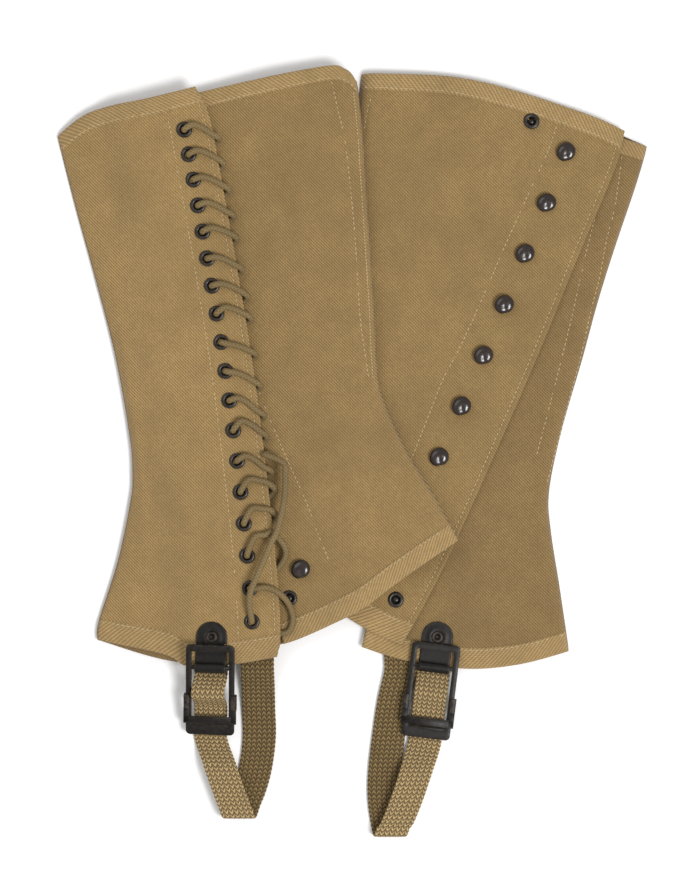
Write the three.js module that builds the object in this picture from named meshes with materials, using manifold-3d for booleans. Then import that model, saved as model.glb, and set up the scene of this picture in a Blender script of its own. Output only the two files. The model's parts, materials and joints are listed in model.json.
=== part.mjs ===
// A pair of laced canvas gaiters lying flat, the right leg's over the left leg's. Millimetres, +Z up.
// Each gaiter is a stack of canvas panels: an inner panel, a front panel with hooks and a rear panel
// with eyelets, bound along the top and bottom, with an instep strap and its buckle.
import * as THREE from "three";
import { mergeVertices } from "three/addons/utils/BufferGeometryUtils.js";
import Module from "manifold-3d";

const wasm = await Module();
wasm.setup();

// Overall sizes of one gaiter. The outlines are drawn for the pattern size and graded to these.
const LEG_LENGTH = 311;
const CALF_WIDTH = 171;
const PATTERN_LENGTH = 311;
const PATTERN_WIDTH = 171;

// Cloth, tape and webbing.
const CANVAS = 1.0;
const FACING = 0.7;
const TOP_TAPE_WIDTH = 9;
const BOTTOM_TAPE_WIDTH = 12;
const WEB_WIDTH = 19;
const WEB_THICKNESS = 1.8;
const SEWN_LENGTH = 22;
const GAP = 0.3;

// Hooks, eyelets and lace.
const EYELET_COUNT = 18;
const LACE_DIAMETER = 3.4;
const LACE_CLEARANCE = 0.7;
const EYELET_WALL = 0.6;
const EYELET_RIM = 1.5;
const EYELET_FLANGE_HEIGHT = 0.7;
const CLINCH_RIM = 1.0;
const CLINCH_HEIGHT = 0.4;
const EYELET_INSET = 15.8;
const EYELET_TOP = 184.5;
const EYELET_FIRST_PITCH = 14;
const EYELET_PITCH_GROWTH = 0.151;
const EYELET_FACING_SHARE = 0.36;
const HOOK_COUNT = 9;
const HOOK_TOP = 172;
const HOOK_PITCH = 29.2;
const HOOK_INSET = 31;
const HOOK_RADIUS = 5.5;
const HOOK_HEIGHT = 4.6;
const HOOK_SHANK = 1.4;
const HOOK_FACING_WIDTH = 44;

// Buckles.
const WEB_CLEARANCE = 1.2;
const FRAME_ABOVE_BAR = 13.8;
const FRAME_BELOW_BAR = 41;
const FRAME_THICKNESS = 2;
const RAIL_WIDTH = 3.3;
const BAR_WIDTH = 2.4;
const TOP_BAR_WIDTH = 4;
const BOTTOM_BAR_WIDTH = 7;
const CHAPE_INSET = 0.75;
const CHAPE_THICKNESS = 0.8;
const CHAPE_REACH = 17.5;
const RIVET_INSET = 15.5;
const RIVET_HEAD = 3.3;
const RIVET_SHANK = 1.5;
const RIVET_HEAD_HEIGHT = 1.2;
const SLIDER_THICKNESS = 0.9;
const SLIDER_BAR_WIDTH = 4.5;
const SLIDER_TRAVEL = 5;
const SLIDER_ARM = 17;
const GRIP_LENGTH = 9;
const STRAP_TURN_RADIUS = 4;
const RIGHT_BUCKLE_DROP = 18;
const LEFT_BUCKLE_DROP = 2.5;
const LEFT_BUCKLE_TURN = -7;
const RIGHT_BUCKLE_TURN = -2;

// Mesh fineness.
const ROWS = 18;
const ROUND_SIDES = 8;

// Sizes that follow from those above.
const LACE_BEND = LACE_DIAMETER / 2 + GAP;
const EYELET_BORE = LACE_DIAMETER / 2 + LACE_CLEARANCE;
const EYELET_FLANGE = EYELET_BORE + EYELET_WALL + EYELET_RIM;
const CLINCH_FLANGE = EYELET_BORE + EYELET_WALL + CLINCH_RIM;
const WINDOW_HALF = WEB_WIDTH / 2 + WEB_CLEARANCE;
const FRAME_WIDTH = 2 * (WINDOW_HALF + RAIL_WIDTH);
const CHAPE_WIDTH = WEB_WIDTH - 2 * CHAPE_INSET;

// Heights of the layers above the underside of their own gaiter.
const HOOK_FACING_BASE = CANVAS + GAP;
const FRONT_BASE = HOOK_FACING_BASE + FACING + GAP;
const FRONT_TOP = FRONT_BASE + CANVAS;
const LACE_UNDER = FRONT_TOP + GAP + LACE_DIAMETER / 2;
const EYELET_FACING_BASE = LACE_UNDER + LACE_BEND + CLINCH_HEIGHT + GAP;
const FLAP_BASE = EYELET_FACING_BASE + FACING + GAP;
const FLAP_TOP = FLAP_BASE + CANVAS;
const LACE_OVER = FLAP_TOP + GAP + EYELET_FLANGE_HEIGHT + LACE_BEND;
const FOLD_BASE = FRONT_TOP + GAP;
const LEFT_REAR_BASE = CANVAS + GAP + WEB_THICKNESS + GAP;
const LEFT_FACING_BASE = LEFT_REAR_BASE + CANVAS + GAP;
const LEFT_FRONT_BASE = LEFT_FACING_BASE + FACING + GAP;
const LEFT_FRONT_TOP = LEFT_FRONT_BASE + CANVAS;

const khaki = new THREE.MeshStandardMaterial({ color: 0x9f8356, roughness: 0.95, metalness: 0 });
const tape = new THREE.MeshStandardMaterial({ color: 0xa38a5e, roughness: 0.9, metalness: 0 });
const webbing = new THREE.MeshStandardMaterial({ color: 0x94805a, roughness: 0.95, metalness: 0 });
const cordage = new THREE.MeshStandardMaterial({ color: 0x88744d, roughness: 0.9, metalness: 0 });
const blackened = new THREE.MeshStandardMaterial({ color: 0x2c2823, roughness: 0.45, metalness: 0.8 });

const lengthGrade = LEG_LENGTH / PATTERN_LENGTH;
const widthGrade = CALF_WIDTH / PATTERN_WIDTH;
const at = (x, y) => new THREE.Vector2(x * widthGrade, y * lengthGrade);
const radians = THREE.MathUtils.degToRad;

// A smooth curve through a few points of the pattern.
const edge = (...points) => new THREE.SplineCurve(points.map(([x, y]) => at(x, y)));
const straight = (a, b) => new THREE.LineCurve(a, b);

// Where an edge that runs down the leg crosses the height y.
function crossing(curve, y) {
  let low = 0;
  let high = 1;
  for (let i = 0; i < 30; i++) {
    const middle = (low + high) / 2;
    if (curve.getPoint(middle).y > y) low = middle;
    else high = middle;
  }
  return curve.getPoint(low);
}

// A patch between four edges: s runs from left to right and t from top to bottom.
function patch(edges) {
  // The very end of a joined edge is a rounding error away.
  const on = (curve) => ({ getPointAt: (t) => curve.getPointAt(Math.min(t, 1 - 1e-9)) });
  const [left, right, top, bottom] = [edges.left, edges.right, edges.top, edges.bottom].map(on);
  const corner = [left.getPointAt(0), right.getPointAt(0), left.getPointAt(1), right.getPointAt(1)];
  const [a, b, c, d] = corner;
  return (s, t) => {
    const down = left.getPointAt(t).multiplyScalar(1 - s).addScaledVector(right.getPointAt(t), s);
    const across = top.getPointAt(s).multiplyScalar(1 - t).addScaledVector(bottom.getPointAt(s), t);
    const flat = a.clone().multiplyScalar((1 - s) * (1 - t)).addScaledVector(b, s * (1 - t));
    flat.addScaledVector(c, (1 - s) * t).addScaledVector(d, s * t);
    return down.add(across).sub(flat);
  };
}

const spread = (from, to, count) =>
  Array.from({ length: count + 1 }, (_, i) => from + ((to - from) * i) / count);

// A closed sheet of even thickness over a patch. height(s, t) is its underside.
function sheet(surface, { columns, rows, height, thickness }) {
  const positions = [];
  const index = [];
  const wide = columns.length;
  const layer = wide * rows.length;
  for (const lift of [0, thickness])
    for (const t of rows)
      for (const s of columns) {
        const p = surface(s, t);
        positions.push(p.x, p.y, height(s, t) + lift);
      }
  const quad = (a, b, c, d) => index.push(a, b, c, a, c, d);
  for (let j = 0; j + 1 < rows.length; j++)
    for (let i = 0; i + 1 < wide; i++) {
      const a = j * wide + i;
      quad(a, a + 1, a + wide + 1, a + wide);
      quad(layer + a, layer + a + wide, layer + a + wide + 1, layer + a + 1);
    }
  const rim = [];
  for (let i = 0; i + 1 < wide; i++) rim.push(i);
  for (let j = 0; j + 1 < rows.length; j++) rim.push(j * wide + wide - 1);
  for (let i = wide - 1; i > 0; i--) rim.push((rows.length - 1) * wide + i);
  for (let j = rows.length - 1; j > 0; j--) rim.push(j * wide);
  rim.forEach((a, k) => {
    const b = rim[(k + 1) % rim.length];
    quad(a, a + layer, b + layer, b);
  });
  const geometry = new THREE.BufferGeometry();
  geometry.setAttribute("position", new THREE.Float32BufferAttribute(positions, 3));
  return geometry.setIndex(index);
}

function solid(geometry) {
  const bare = geometry.clone();
  bare.deleteAttribute("normal");
  bare.deleteAttribute("uv");
  const merged = mergeVertices(bare, 1e-4);
  const vertProperties = new Float32Array(merged.attributes.position.array);
  const triVerts = new Uint32Array(merged.index.array);
  return new wasm.Manifold(new wasm.Mesh({ numProp: 3, vertProperties, triVerts }));
}

function geometryOf(body) {
  const { vertProperties, triVerts } = body.getMesh();
  const geometry = new THREE.BufferGeometry();
  geometry.setAttribute("position", new THREE.BufferAttribute(vertProperties, 3));
  return geometry.setIndex(new THREE.BufferAttribute(triVerts, 1));
}

// Round holes through a geometry, along Z.
function pierced(geometry, holes) {
  let body = solid(geometry);
  for (const { x, y, radius } of holes) {
    const drill = new THREE.CylinderGeometry(radius, radius, 100, ROUND_SIDES);
    drill.rotateX(Math.PI / 2).translate(x, y, 0);
    body = body.subtract(solid(drill));
  }
  return geometryOf(body);
}

function joined(...geometries) {
  return geometryOf(geometries.map(solid).reduce((whole, part) => whole.add(part)));
}

function add(group, name, geometry, material, position) {
  const mesh = new THREE.Mesh(geometry, material);
  mesh.name = name;
  if (position) mesh.position.copy(position);
  group.add(mesh);
  return mesh;
}

// A turned piece standing along Z, from its half profile.
function turned(profile) {
  const points = profile.map(([r, z]) => new THREE.Vector2(r, z));
  return new THREE.LatheGeometry(points, ROUND_SIDES).rotateX(Math.PI / 2);
}

// An eyelet through a stack of the given depth, its zero at the top of the cloth. A clinched one has
// a second flange below.
function eyeletGeometry(depth, clinched) {
  const outer = EYELET_BORE + EYELET_WALL;
  const foot = clinched ? -depth - GAP - CLINCH_HEIGHT : -depth;
  const profile = [
    [EYELET_BORE, foot],
    [clinched ? CLINCH_FLANGE : outer, foot],
  ];
  if (clinched) profile.push([CLINCH_FLANGE, foot + CLINCH_HEIGHT], [outer, foot + CLINCH_HEIGHT]);
  profile.push([outer, GAP], [EYELET_FLANGE, GAP], [EYELET_FLANGE - 0.7, GAP + EYELET_FLANGE_HEIGHT]);
  profile.push([EYELET_BORE, GAP + EYELET_FLANGE_HEIGHT], [EYELET_BORE, foot]);
  return turned(profile);
}

// A lacing hook: a domed button on a neck, with its shank through the cloth and the facing.
function hookGeometry(depth) {
  const rim = GAP + HOOK_HEIGHT * 0.42;
  const top = GAP + HOOK_HEIGHT;
  return turned([
    [0, -depth],
    [HOOK_SHANK, -depth],
    [HOOK_SHANK, GAP],
    [HOOK_RADIUS * 0.62, GAP],
    [HOOK_RADIUS * 0.5, GAP + 0.9],
    [HOOK_RADIUS, rim],
    [HOOK_RADIUS * 0.88, rim + (top - rim) * 0.55],
    [HOOK_RADIUS * 0.45, top - 0.25],
    [0, top],
  ]);
}

const eyeletHole = (p) => ({ x: p.x, y: p.y, radius: EYELET_BORE + EYELET_WALL + GAP });
const shankHole = (p) => ({ x: p.x, y: p.y, radius: HOOK_SHANK + GAP });
const rivetHole = (p) => ({ x: p.x, y: p.y, radius: RIVET_SHANK + GAP });

// A panel with its bindings: the tapes take the first and last rows, the cloth the rows between.
function boundRows(length) {
  const top = TOP_TAPE_WIDTH / length;
  const bottom = 1 - BOTTOM_TAPE_WIDTH / length;
  return { top, bottom, seam: GAP / length };
}

// ---------------------------------------------------------------------------------------------
// Buckle: its zero is the middle of the chape bar, +Y up the leg, +Z away from the cloth.
const LOOP_BORE = Math.hypot(BAR_WIDTH / 2, FRAME_THICKNESS / 2) + GAP;
const LOOP_RADIUS = LOOP_BORE + CHAPE_THICKNESS;
const BAR_HEIGHT = GAP + LOOP_RADIUS;
const SLIDER_Y = -(FRAME_BELOW_BAR - BOTTOM_BAR_WIDTH - GAP - SLIDER_BAR_WIDTH / 2);

function rectangle(x0, y0, x1, y1, Outline = THREE.Shape) {
  const outline = new Outline();
  outline.moveTo(x0, y0).lineTo(x1, y0).lineTo(x1, y1).lineTo(x0, y1).closePath();
  return outline;
}

const slab = (shape, base, thickness) =>
  new THREE.ExtrudeGeometry(shape, { depth: thickness, bevelEnabled: false }).translate(0, 0, base);

function frameGeometry() {
  const outline = rectangle(-FRAME_WIDTH / 2, -FRAME_BELOW_BAR, FRAME_WIDTH / 2, FRAME_ABOVE_BAR);
  const upper = [BAR_WIDTH / 2, FRAME_ABOVE_BAR - TOP_BAR_WIDTH];
  const lower = [-FRAME_BELOW_BAR + BOTTOM_BAR_WIDTH, -BAR_WIDTH / 2];
  for (const [y0, y1] of [upper, lower])
    outline.holes.push(rectangle(-WINDOW_HALF, y0, WINDOW_HALF, y1, THREE.Path));
  return slab(outline, -FRAME_THICKNESS / 2, FRAME_THICKNESS);
}

// The chape: a riveted plate with a round end, rolled round the frame's bar.
function chapeGeometry(rivetY) {
  const half = CHAPE_WIDTH / 2;
  const plate = new THREE.Shape();
  plate.moveTo(-half, 0).lineTo(half, 0).lineTo(half, rivetY);
  plate.absarc(0, rivetY, half, 0, Math.PI, false).lineTo(-half, 0);
  plate.holes.push(new THREE.Path().absarc(0, rivetY, RIVET_SHANK + GAP, 0, 2 * Math.PI, true));
  const base = -LOOP_RADIUS;
  const flat = new THREE.ExtrudeGeometry(plate, {
    depth: CHAPE_THICKNESS,
    bevelEnabled: false,
    curveSegments: ROUND_SIDES,
  }).translate(0, 0, base);
  const roll = new THREE.Shape();
  const opening = radians(40);
  roll.absarc(0, 0, LOOP_RADIUS, opening, 1.5 * Math.PI, false);
  roll.lineTo(0, -LOOP_BORE).absarc(0, 0, LOOP_BORE, 1.5 * Math.PI, opening, true);
  const loop = new THREE.ExtrudeGeometry(roll, {
    depth: CHAPE_WIDTH,
    bevelEnabled: false,
    curveSegments: ROUND_SIDES,
  });
  // The roll's outline lies in Y and Z, and it runs along X.
  loop.applyMatrix4(new THREE.Matrix4().set(0, 0, 1, -half, 1, 0, 0, 0, 0, 1, 0, 0, 0, 0, 0, 1));
  return joined(flat, loop);
}

function rivetGeometry(depth) {
  const top = GAP + CHAPE_THICKNESS + GAP;
  return turned([
    [0, -depth - GAP - 0.5],
    [RIVET_HEAD * 0.75, -depth - GAP - 0.5],
    [RIVET_HEAD * 0.75, -depth - GAP],
    [RIVET_SHANK, -depth - GAP],
    [RIVET_SHANK, top],
    [RIVET_HEAD, top],
    [RIVET_HEAD * 0.7, top + RIVET_HEAD_HEIGHT * 0.8],
    [0, top + RIVET_HEAD_HEIGHT],
  ]);
}

// The slider: a cross bar over the frame with two arms, whose grips hook under the rails.
function sliderGeometry() {
  const base = FRAME_THICKNESS / 2 + GAP;
  const outer = FRAME_WIDTH / 2 + GAP + SLIDER_THICKNESS;
  const barBottom = SLIDER_Y - SLIDER_BAR_WIDTH / 2;
  const bar = rectangle(-outer, barBottom, outer, SLIDER_Y + SLIDER_BAR_WIDTH / 2);
  const pieces = [slab(bar, base, SLIDER_THICKNESS)];
  const armTop = barBottom + SLIDER_ARM;
  for (const side of [-1, 1]) {
    const box = (x0, x1, y0, z0, z1) => {
      const [a, b] = [side * x0, side * x1].sort((p, q) => p - q);
      pieces.push(slab(rectangle(a, y0, b, armTop), z0, z1 - z0));
    };
    const under = -FRAME_THICKNESS / 2 - GAP;
    box(outer - RAIL_WIDTH, outer, barBottom + 1, base, base + SLIDER_THICKNESS);
    box(outer - SLIDER_THICKNESS, outer, armTop - GRIP_LENGTH, under - SLIDER_THICKNESS, base + 0.5);
    box(outer - RAIL_WIDTH, outer, armTop - GRIP_LENGTH, under - SLIDER_THICKNESS, under);
  }
  return joined(...pieces);
}

// Puts a chape, rivet, frame and slider on a gaiter. Returns the frame's group.
function buckle(group, prefix, rivet, clothTop, drop, turn) {
  const seat = new THREE.Group();
  seat.position.set(rivet.x, rivet.y, clothTop);
  seat.rotation.z = radians(turn);
  const bar = new THREE.Group();
  bar.position.set(0, -CHAPE_REACH, BAR_HEIGHT);
  const frame = new THREE.Group();
  frame.rotation.x = radians(drop);
  group.add(seat);
  seat.add(bar);
  bar.add(frame);
  add(seat, prefix + "_chape_rivet", rivetGeometry(CANVAS), blackened);
  add(bar, prefix + "_chape", chapeGeometry(CHAPE_REACH), blackened);
  add(frame, prefix + "_buckle_frame", frameGeometry(), blackened);
  add(frame, prefix + "_buckle_slider", sliderGeometry(), blackened);
  return frame;
}

// A flat strap of webbing: stations are [centre, direction of the width], joined smoothly.
function strapGeometry(stations, steps) {
  const path = new THREE.CatmullRomCurve3(stations.map(([p]) => p), false, "centripetal");
  const sides = new THREE.CatmullRomCurve3(stations.map(([, w]) => w), false, "centripetal");
  const positions = [];
  const index = [];
  for (let i = 0; i <= steps; i++) {
    const p = path.getPoint(i / steps);
    const along = path.getTangent(i / steps);
    const wide = sides.getPoint(i / steps).addScaledVector(along, -sides.getPoint(i / steps).dot(along));
    wide.normalize();
    const normal = new THREE.Vector3().crossVectors(wide, along);
    for (const [w, n] of [[-1, -1], [1, -1], [1, 1], [-1, 1]]) {
      const corner = p.clone().addScaledVector(wide, (w * WEB_WIDTH) / 2);
      corner.addScaledVector(normal, (n * WEB_THICKNESS) / 2);
      positions.push(corner.x, corner.y, corner.z);
    }
  }
  for (let i = 0; i < steps; i++)
    for (let k = 0; k < 4; k++) {
      const a = 4 * i + k;
      const b = 4 * i + ((k + 1) % 4);
      index.push(a, b + 4, b, a, a + 4, b + 4);
    }
  const last = 4 * steps;
  index.push(0, 1, 2, 0, 2, 3, last, last + 2, last + 1, last, last + 3, last + 2);
  const geometry = new THREE.BufferGeometry();
  geometry.setAttribute("position", new THREE.Float32BufferAttribute(positions, 3));
  return geometry.setIndex(index);
}

const ACROSS = new THREE.Vector3(1, 0, 0);
// Points of a group's own frame, and the direction of its X, in the frame of the pair.
const outOf = (group, x, y, z) => group.localToWorld(new THREE.Vector3(x, y, z));
const widthOf = (group) => ACROSS.clone().transformDirection(group.matrixWorld);

// The strap from its sewn end, down and round under the instep, up behind the frame's bottom bar and
// through the window, to its tail under the cloth. The loop's points are set out from the sewn end.
function strapStations(gaiter, frame, sewn, { back, turn, front, bulge, tailLevel }) {
  const level = CANVAS + GAP + WEB_THICKNESS / 2;
  const floor = WEB_THICKNESS / 2 + 2 * GAP;
  const over = floor + 2 * STRAP_TURN_RADIUS;
  const behind = -FRAME_THICKNESS / 2 - SLIDER_THICKNESS - 2 * GAP - WEB_THICKNESS / 2;
  const hem = outOf(gaiter, sewn.x, sewn.y, level);
  const out = (dx, dy, z) => new THREE.Vector3(hem.x + dx, hem.y + dy, z);
  const [across, frameAcross] = [widthOf(gaiter), widthOf(frame)];
  const bend = [-90, -45, 0, 45, 90].map(radians).map((a) => {
    const y = turn[1] + STRAP_TURN_RADIUS * (1 - Math.cos(a));
    return out(turn[0], y, floor + STRAP_TURN_RADIUS * (1 + Math.sin(a)));
  });
  const tail = gaiter.worldToLocal(outOf(frame, 0, 0, 0));
  const inFrame = (x, y, z) => [outOf(frame, x, y, z), frameAcross];
  return [
    [outOf(gaiter, sewn.x, sewn.y + SEWN_LENGTH, level), across],
    [hem, across],
    [outOf(gaiter, sewn.x, sewn.y - 5, level), across],
    ...back.map(([dx, dy, lift = 0]) => [out(dx, dy, floor + lift), ACROSS]),
    ...bend.map((p) => [p, ACROSS]),
    ...front.map(([dx, dy]) => [out(dx, dy, over), ACROSS]),
    inFrame(0, -FRAME_BELOW_BAR - 4, behind),
    inFrame(0, -FRAME_BELOW_BAR + BOTTOM_BAR_WIDTH, behind),
    inFrame(0, SLIDER_Y + SLIDER_BAR_WIDTH / 2 + SLIDER_TRAVEL, behind),
    inFrame(bulge.x, -15, bulge.z),
    inFrame(0, -LOOP_RADIUS - 4, behind),
    [outOf(gaiter, tail.x, tail.y + 0.5, tailLevel), across],
    [outOf(gaiter, tail.x, tail.y + 8, tailLevel), across],
  ];
}

const pair = new THREE.Group();

// ---------------------------------------------------------------------------------------------
// Left leg's gaiter, underneath: its hook flap lies open over its eyelet side.
const left = new THREE.Group();
pair.add(left);

const leftFrontFold = edge([5.5, 217], [0, 162], [-6, 99], [-11.5, 53], [-17.5, 30], [-30, 1], [-47.5, -25],
  [-65.5, -45]);
const leftRearFold = edge([169.5, 175.5], [163, 153.5], [150.5, 116.5], [141, 86], [132, 53], [120, 11.5],
  [113, -23], [114, -45.5], [119, -77.5], [124.5, -114.5]);
const leftFreeEdge = edge([156.5, 184], [150.5, 162.5], [130, 113.5], [105.5, 53.5], [79.5, -6], [62.5, -44],
  [47.5, -75.5], [28.5, -111]);
const leftHiddenEdge = edge([88, 202.5], [59, 93], [30.5, -16], [5.5, -112]);

function panelEdges(leftCurve, rightCurve, topPoints, bottomPoints) {
  const between = (end, points) => {
    const middle = points.map(([x, y]) => at(x, y));
    return new THREE.SplineCurve([leftCurve.getPoint(end), ...middle, rightCurve.getPoint(end)]);
  };
  return {
    left: leftCurve,
    right: rightCurve,
    top: between(0, topPoints),
    bottom: between(1, bottomPoints),
  };
}

const level = (z) => () => z;
const legRows = boundRows(LEG_LENGTH);

{
  const columns = spread(0, 1, 4);
  const bottom = [[-30, -75], [5, -99], [60, -122]];
  const inner = patch(panelEdges(leftFrontFold, leftRearFold, [[60, 212], [120, 196]], bottom));
  add(left, "left_inner_panel", sheet(inner, {
    columns, rows: spread(0, 1, 14), height: level(0), thickness: CANVAS,
  }), khaki);
}

const aboveHem = (x, y) => at(x, y).add(new THREE.Vector2(0, RIVET_INSET));
const leftRivet = aboveHem(49, -122);
{
  const columns = spread(0, 1, 6);
  const bottom = [[31.5, -120], [66, -124.5], [96, -122]];
  const surface = patch(panelEdges(leftHiddenEdge, leftRearFold, [[121, 191]], bottom));
  const rows = spread(0, legRows.bottom - legRows.seam, ROWS);
  const cloth = sheet(surface, { columns, rows, height: level(LEFT_REAR_BASE), thickness: CANVAS });
  add(left, "left_rear_panel", pierced(cloth, [rivetHole(leftRivet)]), khaki);
  add(left, "left_rear_bottom_binding", sheet(surface, {
    columns, rows: [legRows.bottom, 1], height: level(LEFT_REAR_BASE), thickness: CANVAS,
  }), tape);
}

// The line where the hook flap turns back clear of the other gaiter, and the part that turns.
const turnTop = at(20.5, 217);
const turnBottom = at(62.5, -44);
const turnLine = straight(turnTop, turnBottom);
const turnSide = new THREE.Vector2().subVectors(turnBottom, turnTop).normalize();
const turnOut = new THREE.Vector2(-turnSide.y, turnSide.x);
const beside = (point, out) => point.clone().addScaledVector(turnOut, out);

const flapShare = 0.975;
const flapSpan = spread(at(0, 184).y, THREE.MathUtils.lerp(at(0, 184).y, at(0, -40).y, flapShare), 8);
const leftFlapFree = new THREE.SplineCurve(flapSpan.map((y) => crossing(leftFreeEdge, y)));
const movingLine = straight(beside(turnTop, GAP / 2), beside(turnLine.getPoint(flapShare), GAP / 2));
const flapEdges = panelEdges(movingLine, leftFlapFree, [[59.5, 215], [96, 206.5], [138, 192.5]], []);
const flapSurface = patch(flapEdges);

const leftHooks = Array.from({ length: HOOK_COUNT }, (_, k) => {
  const y = (HOOK_TOP - k * HOOK_PITCH) * lengthGrade;
  return new THREE.Vector2(crossing(leftFreeEdge, y).x - HOOK_INSET, y);
});
const leftTopEyelet = at(103, 190);
const leftBottomEyelet = at(25, -85);
const outward = (p) => turnOut.dot(p.clone().sub(turnTop));
const turns = leftHooks.map((p) => outward(p) > 0);
const clothAndFacing = CANVAS + GAP + FACING;

{
  const holes = leftHooks.filter((_, k) => turns[k]).map(shankHole);
  const top = TOP_TAPE_WIDTH / leftFlapFree.getLength();
  const columns = spread(0, 1, 6);
  const rows = spread(top + legRows.seam, 1, ROWS);
  const cloth = sheet(flapSurface, { columns, rows, height: level(LEFT_FRONT_BASE), thickness: CANVAS });
  add(left, "left_hook_flap", pierced(cloth, [...holes, eyeletHole(leftTopEyelet)]), khaki);
  add(left, "left_flap_top_binding", sheet(flapSurface, {
    columns, rows: [0, top], height: level(LEFT_FRONT_BASE), thickness: CANVAS,
  }), tape);

  const facingTop = at(0, 196).y;
  const facingBottom = at(0, 8).y;
  const facingSurface = (s, t) => {
    const y = THREE.MathUtils.lerp(facingTop, facingBottom, t);
    const outer = crossing(leftFreeEdge, Math.min(y, at(0, 183).y)).x - 2;
    const hinge = turnTop.x + ((turnTop.y - y) / (turnTop.y - turnBottom.y)) * (turnBottom.x - turnTop.x);
    const inner = Math.max(hinge + 2, outer - HOOK_FACING_WIDTH);
    const slope = (outer - inner) * 0.35 * Math.max(0, 1 - t * 6);
    return new THREE.Vector2(THREE.MathUtils.lerp(inner, outer, s), y - slope * s);
  };
  const strip = sheet(facingSurface, {
    columns: [0, 1], rows: spread(0, 1, ROWS), height: level(LEFT_FACING_BASE), thickness: FACING,
  });
  add(left, "left_hook_facing", pierced(strip, [...holes, eyeletHole(leftTopEyelet)]), khaki);
}

{
  // The part of the front panel that stays down, up to the line and then the free edge.
  const lineEnd = beside(turnLine.getPoint(flapShare), -GAP / 2);
  const low = [-46, -60, -75.5, -93].map((y) => crossing(leftFreeEdge, at(0, y).y));
  const right = new THREE.CurvePath();
  right.add(straight(beside(turnTop, -GAP / 2), lineEnd));
  right.add(new THREE.SplineCurve([lineEnd, ...low, leftFreeEdge.getPoint(1)]));
  const surface = patch({
    left: leftFrontFold,
    right,
    top: straight(leftFrontFold.getPoint(0), beside(turnTop, -GAP / 2)),
    bottom: new THREE.SplineCurve([
      leftFrontFold.getPoint(1),
      at(-30, -76.5),
      at(8, -101.5),
      leftFreeEdge.getPoint(1),
    ]),
  });
  const { bottom, seam } = legRows;
  const fixed = leftHooks.filter((_, k) => !turns[k]);
  const columns = spread(0, 1, 5);
  const rows = spread(0, bottom - seam, ROWS);
  const cloth = sheet(surface, { columns, rows, height: level(LEFT_FRONT_BASE), thickness: CANVAS });
  const holes = [...fixed.map(shankHole), eyeletHole(leftBottomEyelet)];
  add(left, "left_front_panel", pierced(cloth, holes), khaki);
  add(left, "left_front_bottom_binding", sheet(surface, {
    columns, rows: [bottom, 1], height: level(LEFT_FRONT_BASE), thickness: CANVAS,
  }), tape);
}

leftHooks.forEach((p, k) => {
  const name = "left_hook_" + (k + 1);
  const depth = turns[k] ? clothAndFacing : CANVAS;
  add(left, name, hookGeometry(depth), blackened, new THREE.Vector3(p.x, p.y, LEFT_FRONT_TOP));
});
const eyeletSeat = (p, z) => new THREE.Vector3(p.x, p.y, z);
const endEyelets = [
  ["left_top_eyelet", leftTopEyelet, clothAndFacing],
  ["left_bottom_eyelet", leftBottomEyelet, CANVAS],
];
for (const [name, place, depth] of endEyelets)
  add(left, name, eyeletGeometry(depth, false), blackened, eyeletSeat(place, LEFT_FRONT_TOP));

const leftRearTop = LEFT_REAR_BASE + CANVAS;
const leftFrame = buckle(left, "left", leftRivet, leftRearTop, LEFT_BUCKLE_DROP, LEFT_BUCKLE_TURN);

// ---------------------------------------------------------------------------------------------
// Right leg's gaiter, on top: its left edge is on the table, and it leans on the left one's hooks.
const rightRearFold = edge([-169.5, 181.5], [-159, 141], [-148, 101.5], [-136, 55.5], [-127.5, 8],
  [-126, -13.5], [-127, -27.5], [-134.5, -63], [-145.5, -97.5], [-146.5, -108]);
const rightFrontFold = edge([3, 212], [6, 184], [8, 153], [12.5, 86], [14, 53.5], [17, 33], [30.5, 2],
  [48, -26.5], [61, -50.5]);
const rightFreeEdge = edge([-89, 209], [-81.5, 192.5], [-75.5, 162.5], [-65, 103], [-56, 47], [-47.5, -20],
  [-42, -75], [-40.5, -106], [-42, -117]);
const rightHiddenEdge = edge([-132, 194], [-88, 50], [-60, -32], [-39, -110]);
const rightTurnTop = at(-150, 195);
const rightTurnBottom = at(-107.5, -116);

const leanFrom = at(-169.5, 0).x;
const lastHook = leftHooks[HOOK_COUNT - 1];
const hookTop = LEFT_FRONT_TOP + GAP + HOOK_HEIGHT;
const leanOnHook = (hookTop + GAP) / (lastHook.x - leanFrom);
const leanOnPanel = (LEFT_FRONT_TOP + GAP) / (leftFrontFold.getPoint(1).x - leanFrom);
const right = new THREE.Group();
right.position.x = leanFrom;
right.rotation.y = -Math.atan(Math.max(leanOnHook, leanOnPanel));
const flat = new THREE.Group();
flat.position.x = -leanFrom;
right.add(flat);
pair.add(right);

const rightHook = at(-29, -67.5);
const rightFrontEyelet = at(-35.5, -84);
const rightRivet = aboveHem(-79.5, -121.5);

{
  const bottom = [[-94, -121], [-40, -110], [8, -86]];
  const inner = patch(panelEdges(rightRearFold, rightFrontFold, [[-86, 202], [-18.5, 217]], bottom));
  add(flat, "right_inner_panel", sheet(inner, {
    columns: spread(0, 1, 4), rows: spread(0, 1, 14), height: level(0), thickness: CANVAS,
  }), khaki);

  const [turnTop, turnBottom] = [rightTurnTop, rightTurnBottom].map((p) => p.clone().setX(p.x - GAP));
  const rear = patch({
    left: rightRearFold,
    right: straight(turnTop, turnBottom),
    top: straight(rightRearFold.getPoint(0), turnTop),
    bottom: straight(rightRearFold.getPoint(1), turnBottom),
  });
  const rise = FOLD_BASE - HOOK_FACING_BASE;
  add(flat, "right_rear_panel", sheet(rear, {
    columns: [0, 1], rows: spread(0, 1, ROWS), height: (s) => HOOK_FACING_BASE + rise * s, thickness: CANVAS,
  }), khaki);
}

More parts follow.
